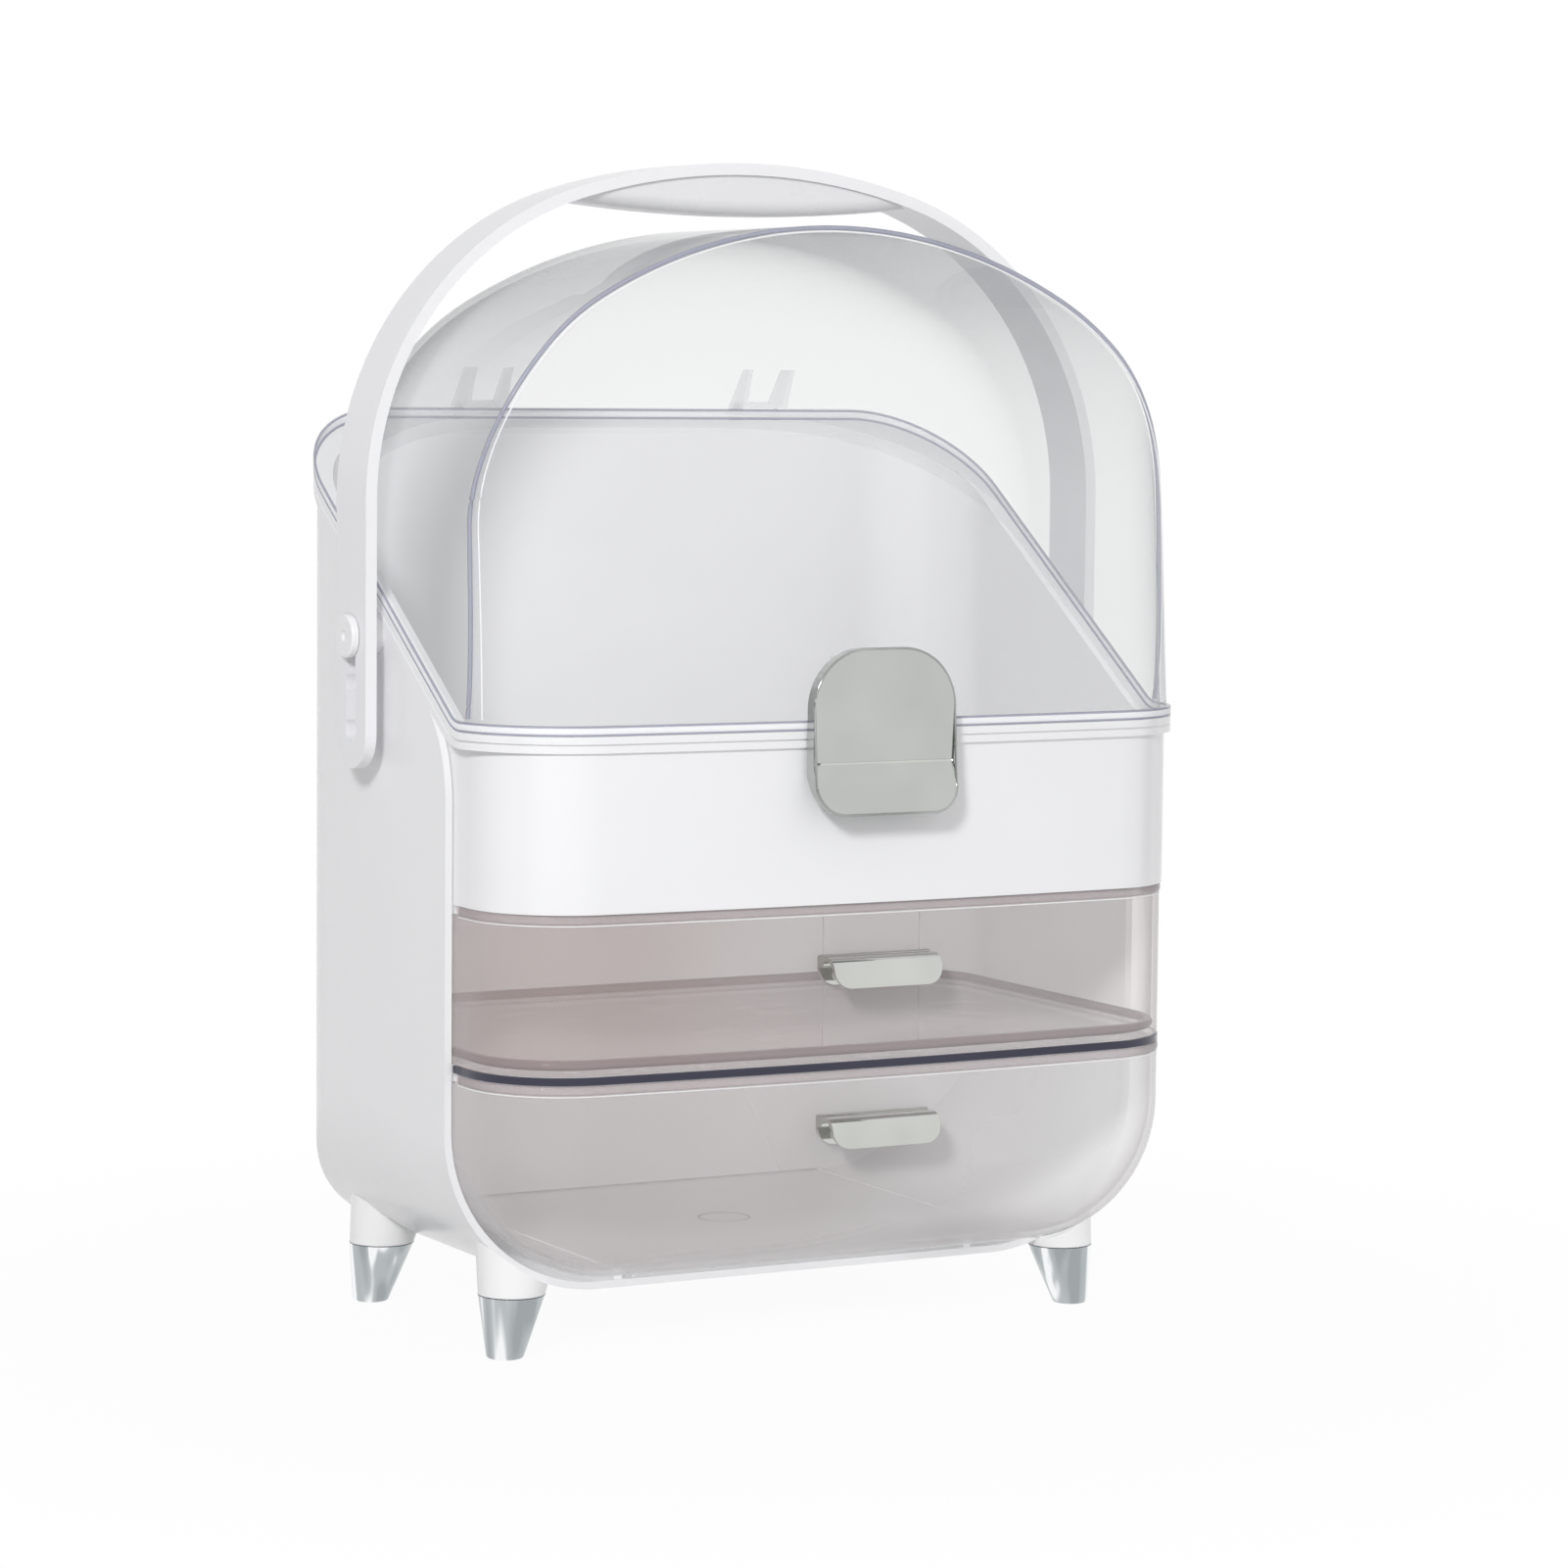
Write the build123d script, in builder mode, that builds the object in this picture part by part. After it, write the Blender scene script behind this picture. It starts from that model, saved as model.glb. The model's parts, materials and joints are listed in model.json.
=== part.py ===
from build123d import *
from math import atan2, cos, degrees, radians, sin, sqrt, tan
import os

# Makeup organizer: a white cradle-shaped shell on four splayed feet, a white bin under a clear
# arched lid, two smoky drawers with a dark-edged shelf between them, and a bail handle on side pivots.
# Millimetres. +X is right, -Y is the front, +Z is up. The origin lies on the floor, under the middle
# of the whole organizer.

os.makedirs("parts", exist_ok=True)

# Overall body
BODY_HALF = 134.0
BODY_FRONT = 91.5
BODY_BACK = 93.9
BOW_RADIUS = 1650.0
FRONT_CORNER = 36.0
BACK_CORNER = 38.0
SKIN_GAP = 0.5
SLIDE_GAP = 0.3
SEAM_GAP = 0.2
PIN_PLAY = 0.05

# Outer shell
SHELL_WALL = 2.5
SHELL_FRONT = 43.2
SHELL_BOTTOM = 20.5
SHELL_LOW_RADIUS = 57.0
SHELL_TOP_DROP = 10.3
SHELL_SHOULDER = 40.0

# Rim line, seen from the side: flat in front, then climbing to the back
RIM_Z = 214.2
RIM_BREAK_Y = -52.0
RIM_ANGLE = 34.2
RIM_BREAK_RADIUS = 12.0
RIM_PROUD_SIDE = 1.2
RIM_PROUD_ENDS = 2.2
RIM_BAND = 5.3
RIM_GROOVE = 0.6
RIM_GROOVE_DEPTH = 0.8

# Upper bin
BIN_FLOOR_Z = 152.9
BIN_WALL = 2.2
BIN_FRONT_PROUD = 1.0
BIN_CORNER = 33.0

# Divider shelf and rails
SHELF_Z = 97.2
SHELF_THICK = 2.5
SHELF_TRIM = 1.6
RAIL_HIGH = 3.2
RAIL_WIDE = 3.3
RAIL_FRONT_INSET = 2.0
RAIL_LENGTH = 116.0
FLOOR_RAIL_INSET = 8.5
FLOOR_RAIL_WIDE = 3.0

# Drawers
DRAWER_WALL = 2.2
DRAWER_FLOOR = 2.4
DRAWER_SIDE_DROP = 3.3
DRAWER_FRONT_INSET = 0.4
DRAWER_BACK_GAP = 2.5
DRAWER_CORNER = 33.0
DRAWER_LOW_Z = 27.8
DRAWER_TIGHTER = 5.5
DRAWER_FACE_DEEP = 46.0

# Pulls
PULL_WIDTH = 41.0
PULL_SHEET = 1.5
PULL_REACH = 11.0
PULL_FLARE = 2.2
PULL_HIGH = 9.8
PULL_UPPER_Z = 135.9
PULL_LOWER_Z = 82.5
PULL_BEND = 3.5
PULL_BEAD = 2.2
PULL_BEAD_DOWN = 1.6
PULL_LIP_CORNER = 6.0
PULL_SCREW_X = 13.0
PULL_SCREW_DOWN = 6.5
PULL_SCREW = 1.2
PULL_SCREW_HEAD = 2.2
PULL_SCREW_HEAD_HIGH = 1.2

# Clear lid
LID_SIDE_IN = 0.5
LID_TOP = 377.3
LID_WALL = 2.2
LID_SIDE_RADIUS = 89.4
LID_TOP_RADIUS = 176.7
LID_DOME = 68.0
LID_FLANGE = 3.4
PANE_LEAN = 28.0
PANE_SIDE = 0.4
PANE_SPREAD = 10.6

# Lid hinges
HINGE_X = 56.5
HINGE_PIN_BEHIND = 6.4
HINGE_PIN_BELOW = 1.75
HINGE_PIN = 1.5
HINGE_KNUCKLE = 4.0
HINGE_BLOCK_WIDE = 13.0
EAR_THICK = 1.8
EAR_GAP = 0.4
EAR_HIGH = 16.0
EAR_STRIP = 1.6
EAR_STRIP_HIGH = 2.4
HINGE_BLOCK_DOWN = 10.0
HINGE_PIN_END = 1.4
HINGE_SCREW = 1.2
HINGE_SCREW_HEAD = 2.6
HINGE_SCREW_HEAD_HIGH = 1.4

# Latch
LATCH_WIDTH = 54.0
LATCH_TOP_Z = 238.0
LATCH_FOLD_Z = 200.0
LATCH_BOTTOM_Z = 183.0
LATCH_GAP = 0.6
LATCH_DEEP = 4.4
LATCH_SHEET = 1.8
LATCH_FLARE = 4.6
LATCH_TOP_CORNER = 20.0
LATCH_LOW_CORNER = 10.0
LATCH_PIN_Z = 229.0
LATCH_PIN = 1.2
LATCH_PIN_LONG = 44.0
LATCH_KNUCKLE = 2.0
LATCH_LUG_X = 12.0
LATCH_LUG_THICK = 3.0
LATCH_BOSS_X = 17.0
LATCH_BOSS_THICK = 3.0
LATCH_BASE = 1.5

# Feet
FOOT_SIDE_IN = 23.0
FOOT_Y = 55.5
FEET_MIDDLE_Y = 13.5
FOOT_LEAN_X = 0.16
FOOT_LEAN_Y = 0.10
FOOT_TIP_RADIUS = 6.2
FOOT_CAP_RADIUS = 11.3
FOOT_CAP_HIGH = 21.0
FOOT_ROOT_RADIUS = 15.5
FOOT_ROOT_Z = 48.0
FOOT_TIP_ROUND = 1.2
FOOT_STUD = 2.0
FOOT_STUD_LOW = 10.0
FOOT_STUD_IN = 1.1

# Handle and its pivots
HANDLE_STAND = 9.5
HANDLE_OVER_LID = 22.7
HANDLE_BAND = 4.0
HANDLE_DEEP = 24.5
HANDLE_SIDE_RADIUS = 110.8
HANDLE_TOP_RADIUS = 222.0
HANDLE_UNDER_PIVOT = 44.6
PIVOT_Y = 12.5
PIVOT_UNDER_RIM = 16.07
PIVOT_NECK = 3.4
PIVOT_KNOB = 7.3
PIVOT_KNOB_THICK = 2.4
PIVOT_DIMPLE = 1.8
PIVOT_DIMPLE_DEEP = 0.8
PIVOT_COLLAR = 4.2
PIVOT_COLLAR_THICK = 1.3
BUSH_RADIUS = 5.4
BUSH_FLANGE = 6.4
LIFT = 31.0
SLOT_PLAY = 0.3
SLOT_LOBE = 4.5
GRIP_HALF = 67.0
GRIP_HIGH = 18.0
GRIP_END_HIGH = 14.0
GRIP_DEEP = 22.0
GRIP_ROUND = 5.0
BIN_SCREW_INSET = 8.0
BIN_SCREW_Z = (168.0, 190.0)
BIN_SCREW = 1.6
BIN_SCREW_HEAD = 3.4
BIN_SCREW_HEAD_HIGH = 1.6
BIN_SCREW_LONG = 9.0
BIN_BOSS = 4.6
FAR_OVER_HANDLE = 20.0

# Places worked out from the sizes above
LID_HALF = BODY_HALF - LID_SIDE_IN
HANDLE_HALF = BODY_HALF + HANDLE_STAND
HANDLE_TOP = LID_TOP + HANDLE_OVER_LID
GRIP_LOW_Z = HANDLE_TOP - GRIP_HIGH
GRIP_END_Z = HANDLE_TOP - GRIP_END_HIGH
FAR = HANDLE_TOP + FAR_OVER_HANDLE
FOOT_X = BODY_HALF - FOOT_SIDE_IN
BIN_SCREW_X = BODY_HALF - BACK_CORNER - BIN_SCREW_INSET
FLOOR_RAIL_X = BODY_HALF - SHELL_LOW_RADIUS - FLOOR_RAIL_INSET
DRAWER_LOW_RADIUS = SHELL_LOW_RADIUS - SHELL_WALL - DRAWER_TIGHTER
SHELL_INNER_HALF = BODY_HALF - SHELL_WALL
SHELL_INNER_BACK = BODY_BACK - SHELL_WALL
SHELL_FLOOR = SHELL_BOTTOM + SHELL_WALL
INSERT_HALF = SHELL_INNER_HALF - SKIN_GAP
INSERT_BACK = SHELL_INNER_BACK - SKIN_GAP
RIM_HALF = BODY_HALF + RIM_PROUD_SIDE
RIM_FRONT = BODY_FRONT + RIM_PROUD_ENDS
RIM_BACK = BODY_BACK + RIM_PROUD_ENDS
RIM_TOP_DROP = LID_FLANGE + SEAM_GAP
RIM_LOW_DROP = RIM_TOP_DROP + RIM_BAND
DRAWER_HALF = SHELL_INNER_HALF - SKIN_GAP
DRAWER_FRONT = BODY_FRONT - DRAWER_FRONT_INSET
DRAWER_BACK = SHELL_INNER_BACK - DRAWER_BACK_GAP
SHELF_TOP = SHELF_Z + SHELF_THICK
SIDES = {"left": -1, "right": 1}
ENDS = {"front": -1, "back": 1}
FEET = [(f"{end}_{side}", SIDES[side] * FOOT_X, FEET_MIDDLE_Y + ENDS[end] * FOOT_Y)
        for end in ENDS for side in SIDES]
BIN_SCREWS = [(side * BIN_SCREW_X, z) for z in BIN_SCREW_Z for side in SIDES.values()]


def bow_drop(half):
    """How far the bowed front falls back at a given distance from the centre."""
    return BOW_RADIUS - sqrt(BOW_RADIUS**2 - half**2)


def plan_face(z, half, front, back, front_corner, back_corner):
    """Plan outline at height z: bowed front, round corners, straight sides and back."""
    with BuildSketch(Plane.XY.offset(z)) as plan:
        with BuildLine():
            side_y = bow_drop(half) - front
            ThreePointArc((-half, side_y), (0, -front), (half, side_y))
            Polyline((half, side_y), (half, back), (-half, back), (-half, side_y))
        make_face()
        if back_corner > 0:
            fillet(plan.vertices().group_by(Axis.Y)[-1], back_corner)
        fillet(plan.vertices().group_by(Axis.Y)[0], front_corner)
    return plan.sketch


def plan_prism(low, high, half, front, back, front_corner, back_corner):
    """Upright prism on the plan outline."""
    with BuildPart() as prism:
        outline = plan_face(low, half, front, back, front_corner, back_corner)
        extrude(outline, amount=high - low)
    return prism.part


def cradle_prism(half, bottom, low_radius):
    """Front-view outline with round lower corners, run from front to back."""
    with BuildPart() as prism:
        with BuildSketch(Plane.XZ) as section:
            with BuildLine():
                Polyline((-half, FAR), (-half, bottom), (half, bottom), (half, FAR), close=True)
            make_face()
            fillet(section.vertices().group_by(Axis.Y)[0], low_radius)
        extrude(amount=FAR, both=True)
    return prism.part


def over_rim(drop):
    """All the space over the rim line, lowered square to itself by drop."""
    angle = radians(RIM_ANGLE)
    flat_z = RIM_Z - drop
    break_y = RIM_BREAK_Y + drop * tan(angle / 2)
    end_z = flat_z + (FAR - break_y) * tan(angle)
    with BuildPart() as space:
        with BuildSketch(Plane.YZ) as section:
            with BuildLine():
                Polyline((-FAR, flat_z), (break_y, flat_z), (FAR, end_z), (FAR, 2 * FAR),
                         (-FAR, 2 * FAR), close=True)
            make_face()
            corner = section.vertices().sort_by_distance((break_y, flat_z))[0]
            fillet(corner, RIM_BREAK_RADIUS + drop)
        extrude(amount=FAR, both=True)
    return space.part


def rim_height(y, drop):
    """Height of the climbing rim line at y, lowered square to itself by drop."""
    angle = radians(RIM_ANGLE)
    return RIM_Z - drop + (y - RIM_BREAK_Y - drop * tan(angle / 2)) * tan(angle)


def rim_ring(drop_top, drop_low, inset=0.0):
    """Slab of the rim outline between two lowered rim lines."""
    with BuildPart() as ring:
        add(plan_prism(BIN_FLOOR_Z, FAR, RIM_HALF - inset, RIM_FRONT - inset, RIM_BACK - inset,
                       FRONT_CORNER + RIM_PROUD_ENDS - inset, BACK_CORNER + RIM_PROUD_ENDS - inset))
        add(over_rim(drop_low), mode=Mode.INTERSECT)
        add(over_rim(drop_top), mode=Mode.SUBTRACT)
    return ring.part


def arch_prism(half, top, side_radius, top_radius, leg_z, front, back):
    """Three-arc arch with straight legs, seen from the front and run from front to back."""
    rise = sqrt((top_radius - side_radius) ** 2 - (half - side_radius) ** 2)
    top_centre = top - top_radius
    spring_z = top_centre + rise
    side_x = half - side_radius
    join = atan2(rise, side_x)
    half_way = join / 2
    top_x = top_radius * cos(join)
    top_z = top_centre + top_radius * sin(join)
    mid_x = side_x + side_radius * cos(half_way)
    mid_z = spring_z + side_radius * sin(half_way)
    with BuildPart() as prism:
        with BuildSketch(Plane.XZ.offset(-front)):
            with BuildLine():
                Line((half, leg_z), (half, spring_z))
                ThreePointArc((half, spring_z), (mid_x, mid_z), (top_x, top_z))
                ThreePointArc((top_x, top_z), (0, top), (-top_x, top_z))
                ThreePointArc((-top_x, top_z), (-mid_x, mid_z), (-half, spring_z))
                Polyline((-half, spring_z), (-half, leg_z), (half, leg_z))
            make_face()
        extrude(amount=front - back)
    return prism.part


def lid_form(inset):
    """Domed hood: arch, round back and a pane that bows out from the arch edge to the rim."""
    lean = PANE_LEAN / (LID_TOP - RIM_Z)
    spread = PANE_SPREAD / (LID_TOP - RIM_Z)
    low = RIM_Z - RIM_LOW_DROP
    high = LID_TOP + RIM_LOW_DROP
    outlines = []
    for z in (low, high):
        front = BODY_FRONT - lean * (z - RIM_Z) - inset
        half = LID_HALF + PANE_SIDE + spread * (z - RIM_Z) - inset
        outlines.append(plan_face(z, half, front, FAR, FRONT_CORNER - inset, 0))
    with BuildPart() as pane_space:
        loft(outlines, ruled=True)
    with BuildPart() as form:
        add(arch_prism(LID_HALF - inset, LID_TOP - inset, LID_SIDE_RADIUS - inset,
                       LID_TOP_RADIUS - inset, BIN_FLOOR_Z, -BODY_FRONT - LID_DOME,
                       BODY_BACK - inset))
        back_face = form.faces().sort_by(Axis.Y)[-1]
        dome_edges = back_face.edges().sort_by(Axis.Z)[1:]
        fillet(dome_edges, LID_DOME - inset)
        add(pane_space.part, mode=Mode.INTERSECT)
    return form.part


def finish(name, builder):
    """Label a finished piece and write it."""
    builder.part.label = name
    export_step(builder.part, f"parts/{name}.step")


def bar_x(radius, y, z, x_from, x_to):
    """Round bar along X."""
    with BuildPart() as bar:
        with BuildSketch(Plane.YZ.offset(x_from)):
            with Locations((y, z)):
                Circle(radius)
        extrude(amount=x_to - x_from)
    return bar.part


def bar_y(radius, x, z, y_from, y_to):
    """Round bar along Y."""
    with BuildPart() as bar:
        with BuildSketch(Plane.XZ.offset(-y_from)):
            with Locations((x, z)):
                Circle(radius)
        extrude(amount=y_from - y_to)
    return bar.part


def bar_z(radius, x, y, z_from, z_to):
    """Round bar along Z."""
    with BuildPart() as bar:
        with BuildSketch(Plane.XY.offset(z_from)):
            with Locations((x, y)):
                Circle(radius)
        extrude(amount=z_to - z_from)
    return bar.part


def block(x_from, x_to, y_from, y_to, z_from, z_to):
    """Plain block between two corners."""
    with BuildPart() as box:
        with BuildSketch(Plane.XY.offset(z_from)):
            with Locations(((x_from + x_to) / 2, (y_from + y_to) / 2)):
                Rectangle(abs(x_to - x_from), abs(y_to - y_from))
        extrude(amount=z_to - z_from)
    return box.part


def foot_centre(x, y, z):
    """Centre of a leaning foot at height z."""
    out_y = y - FEET_MIDDLE_Y
    return x - FOOT_LEAN_X * z * x / abs(x), y - FOOT_LEAN_Y * z * out_y / abs(out_y)


HINGE_PIN_Y = BODY_BACK + HINGE_PIN_BEHIND
HINGE_PIN_Z = rim_height(RIM_BACK, 0) - HINGE_PIN_BELOW
HINGE_SCREW_Z = rim_height(RIM_BACK, RIM_LOW_DROP - RIM_BAND / 4)
PIVOT_Z = rim_height(PIVOT_Y, PIVOT_UNDER_RIM)
HANDLE_END_Z = PIVOT_Z - HANDLE_UNDER_PIVOT


def skin_z(x):
    """Height of the shell's outer skin under its round lower side."""
    past = abs(x) - (BODY_HALF - SHELL_LOW_RADIUS)
    return SHELL_BOTTOM + SHELL_LOW_RADIUS - sqrt(SHELL_LOW_RADIUS**2 - past**2)


def foot_stud_bar(x, y):
    """Upright stud from inside a foot cap, through the cone, into the shell's skin."""
    stud_x, stud_y = foot_centre(x, y, FOOT_CAP_HIGH)
    return bar_z(FOOT_STUD, stud_x, stud_y, FOOT_STUD_LOW, skin_z(stud_x) + FOOT_STUD_IN)


# Outer shell: sides, back and bottom in one moulding, open in front and on top
with BuildPart() as outer_shell:
    add(cradle_prism(BODY_HALF, SHELL_BOTTOM, SHELL_LOW_RADIUS))
    add(plan_prism(0, FAR, BODY_HALF, BODY_FRONT, BODY_BACK, FRONT_CORNER, BACK_CORNER),
        mode=Mode.INTERSECT)
    shell_top_at_front = rim_height(-SHELL_FRONT, SHELL_TOP_DROP)
    shell_top_far = rim_height(FAR, SHELL_TOP_DROP)
    with BuildSketch(Plane.YZ) as shell_side:
        with BuildLine():
            Polyline((-SHELL_FRONT, 0), (-SHELL_FRONT, shell_top_at_front), (FAR, shell_top_far),
                     (FAR, 0), close=True)
        make_face()
        shoulder = shell_side.vertices().sort_by_distance((-SHELL_FRONT, shell_top_at_front))[0]
        fillet(shoulder, SHELL_SHOULDER)
    extrude(amount=FAR, both=True, mode=Mode.INTERSECT)

with BuildPart() as shell_cavity:
    add(cradle_prism(SHELL_INNER_HALF, SHELL_FLOOR, SHELL_LOW_RADIUS - SHELL_WALL))
    add(plan_prism(0, FAR, SHELL_INNER_HALF, FAR / 2, SHELL_INNER_BACK, FRONT_CORNER,
                   BACK_CORNER - SHELL_WALL), mode=Mode.INTERSECT)

with outer_shell:
    add(shell_cavity.part, mode=Mode.SUBTRACT)
    for foot_name, foot_x, foot_y in FEET:
        add(foot_stud_bar(foot_x, foot_y), mode=Mode.SUBTRACT)
    add(bar_x(BUSH_RADIUS, PIVOT_Y, PIVOT_Z, -FAR, FAR), mode=Mode.SUBTRACT)
    for place in BIN_SCREWS:
        add(bar_y(BIN_SCREW, place[0], place[1], 0, FAR), mode=Mode.SUBTRACT)
finish("outer_shell", outer_shell)

# Rails on the shell's side walls and floor
RAIL_FRONT = -SHELL_FRONT + RAIL_FRONT_INSET
RAIL_BACK = RAIL_FRONT + RAIL_LENGTH
for level, rail_top in (("shelf", SHELF_Z), ("bin", BIN_FLOOR_Z)):
    for side_name, side in SIDES.items():
        with BuildPart() as side_rail:
            rail_in = side * (SHELL_INNER_HALF - RAIL_WIDE)
            rail_out = side * (SHELL_INNER_HALF + SHELL_WALL)
            add(block(rail_in, rail_out, RAIL_FRONT, RAIL_BACK, rail_top - RAIL_HIGH, rail_top))
            add(shell_cavity.part, mode=Mode.INTERSECT)
        finish(f"{level}_rail_{side_name}", side_rail)

for side_name, side in SIDES.items():
    with BuildPart() as floor_rail:
        rail_in = side * FLOOR_RAIL_X - FLOOR_RAIL_WIDE / 2
        rail_out = side * FLOOR_RAIL_X + FLOOR_RAIL_WIDE / 2
        add(block(rail_in, rail_out, RAIL_FRONT, RAIL_BACK, SHELL_FLOOR, DRAWER_LOW_Z - SLIDE_GAP))
    finish(f"floor_rail_{side_name}", floor_rail)

# Upper bin: open tray with a sloping rim and two fine ribs round it
bin_inside = plan_prism(BIN_FLOOR_Z + BIN_WALL, FAR, INSERT_HALF - BIN_WALL,
                        BODY_FRONT + BIN_FRONT_PROUD - BIN_WALL, INSERT_BACK - BIN_WALL,
                        BIN_CORNER - BIN_WALL, BACK_CORNER - SHELL_WALL - BIN_WALL)
with BuildPart() as upper_bin:
    add(plan_prism(BIN_FLOOR_Z, FAR, INSERT_HALF, BODY_FRONT + BIN_FRONT_PROUD, INSERT_BACK,
                   BIN_CORNER, BACK_CORNER - SHELL_WALL))
    add(over_rim(RIM_TOP_DROP), mode=Mode.SUBTRACT)
    add(rim_ring(RIM_TOP_DROP, RIM_LOW_DROP))
    groove_drop = RIM_TOP_DROP + (RIM_BAND - RIM_GROOVE) / 2
    with BuildPart(mode=Mode.PRIVATE) as groove:
        add(rim_ring(groove_drop, groove_drop + RIM_GROOVE))
        add(rim_ring(groove_drop - RIM_BAND, groove_drop + RIM_BAND, RIM_GROOVE_DEPTH),
            mode=Mode.SUBTRACT)
    add(groove.part, mode=Mode.SUBTRACT)
    add(bin_inside, mode=Mode.SUBTRACT)
    for place in BIN_SCREWS:
        boss_y = BODY_BACK - BIN_SCREW_LONG
        add(bar_y(BIN_BOSS, place[0], place[1], boss_y, INSERT_BACK))
        add(bar_y(BIN_SCREW, place[0], place[1], 0, FAR), mode=Mode.SUBTRACT)
    for side in SIDES.values():
        add(bar_y(HINGE_SCREW, side * HINGE_X, HINGE_SCREW_Z, BODY_BACK, FAR),
            mode=Mode.SUBTRACT)
finish("upper_bin", upper_bin)

for number, place in enumerate(BIN_SCREWS, 1):
    with BuildPart() as bin_screw:
        add(bar_y(BIN_SCREW, place[0], place[1], BODY_BACK - BIN_SCREW_LONG, BODY_BACK))
        add(bar_y(BIN_SCREW_HEAD, place[0], place[1], BODY_BACK, BODY_BACK + BIN_SCREW_HEAD_HIGH))
    finish(f"bin_screw_{number}", bin_screw)

# Shelf between the drawers with a dark strip along its front edge
shelf_plate = plan_prism(SHELF_Z, SHELF_TOP, INSERT_HALF, BODY_FRONT, INSERT_BACK, DRAWER_CORNER,
                         BACK_CORNER - SHELL_WALL)
with BuildPart() as shelf_trim:
    add(shelf_plate)
    add(plan_prism(0, FAR, INSERT_HALF - SHELF_TRIM, BODY_FRONT - SHELF_TRIM, INSERT_BACK,
                   DRAWER_CORNER - SHELF_TRIM, BACK_CORNER - SHELL_WALL), mode=Mode.SUBTRACT)
    add(block(-FAR, FAR, -SHELL_FRONT, FAR, 0, FAR), mode=Mode.SUBTRACT)
finish("shelf_trim", shelf_trim)

with BuildPart() as divider_shelf:
    add(shelf_plate)
    add(shelf_trim.part, mode=Mode.SUBTRACT)
finish("divider_shelf", divider_shelf)


def foot_part(x, y, low, high, low_radius, high_radius):
    """Leaning round taper between two level circles."""
    circles = []
    for z, radius in ((low, low_radius), (high, high_radius)):
        with BuildSketch(Plane.XY.offset(z)) as circle:
            with Locations(foot_centre(x, y, z)):
                Circle(radius)
        circles.append(circle.sketch)
    with BuildPart() as taper:
        loft(circles, ruled=True)
    return taper.part


# Feet: white cones under the shell, chrome caps below and a stud through each
shell_block = cradle_prism(BODY_HALF, SHELL_BOTTOM, SHELL_LOW_RADIUS)
for foot_name, foot_x, foot_y in FEET:
    with BuildPart() as foot_cap:
        add(foot_part(foot_x, foot_y, 0, FOOT_CAP_HIGH, FOOT_TIP_RADIUS, FOOT_CAP_RADIUS))
        fillet(foot_cap.edges().sort_by(Axis.Z)[0], FOOT_TIP_ROUND)
        add(foot_stud_bar(foot_x, foot_y), mode=Mode.SUBTRACT)
    finish(f"foot_cap_{foot_name}", foot_cap)

    with BuildPart() as foot_cone:
        add(foot_part(foot_x, foot_y, FOOT_CAP_HIGH, FOOT_ROOT_Z, FOOT_CAP_RADIUS,
                      FOOT_ROOT_RADIUS))
        add(shell_block, mode=Mode.SUBTRACT)
        add(foot_stud_bar(foot_x, foot_y), mode=Mode.SUBTRACT)
    finish(f"foot_cone_{foot_name}", foot_cone)

    with BuildPart() as foot_stud:
        add(foot_stud_bar(foot_x, foot_y))
    finish(f"foot_stud_{foot_name}", foot_stud)


def drawer_block(low, high, inset, low_radius):
    """Solid drawer outline shrunk by inset: upright front corners, or one round front over the cradle."""
    half = DRAWER_HALF - inset
    front = DRAWER_FRONT - inset
    back = DRAWER_BACK - inset
    corner = DRAWER_CORNER - inset
    back_corner = BACK_CORNER - SHELL_WALL - inset
    if low_radius == 0:
        return plan_prism(low, high, half, front, back, corner, back_corner)
    with BuildPart() as tub:
        with BuildSketch(Plane.XZ.offset(-back)) as section:
            with BuildLine():
                Polyline((-half, high), (-half, low), (half, low), (half, high), close=True)
            make_face()
            fillet(section.vertices().group_by(Axis.Y)[0], low_radius - inset)
        extrude(amount=back + front)
        with BuildSketch(Plane.XY.offset(low)):
            with Locations((0, BOW_RADIUS - front)):
                Circle(BOW_RADIUS)
        extrude(amount=high - low, mode=Mode.INTERSECT)
        front_edges = tub.faces().sort_by(Axis.Y)[0].edges().sort_by(Axis.Z)[:-1]
        fillet(front_edges, corner)
        add(plan_prism(low, high, half, FAR / 2, back, corner, back_corner), mode=Mode.INTERSECT)
    return tub.part


def drawer_tray(name, low, high, low_radius, pull_z):
    """Open tray with a bowed front, its sides cut lower behind the front part."""
    cut_y = DRAWER_FACE_DEEP - DRAWER_FRONT
    with BuildPart() as tray:
        add(drawer_block(low, high, 0, low_radius))
        add(drawer_block(low + DRAWER_FLOOR, high + DRAWER_FLOOR, DRAWER_WALL, low_radius),
            mode=Mode.SUBTRACT)
        add(block(-FAR, FAR, cut_y, FAR, high - DRAWER_SIDE_DROP, FAR), mode=Mode.SUBTRACT)
        for side in SIDES.values():
            screw_z = pull_z - PULL_SCREW_DOWN
            add(bar_y(PULL_SCREW, side * PULL_SCREW_X, screw_z, -FAR, 0), mode=Mode.SUBTRACT)
    finish(name, tray)


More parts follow.
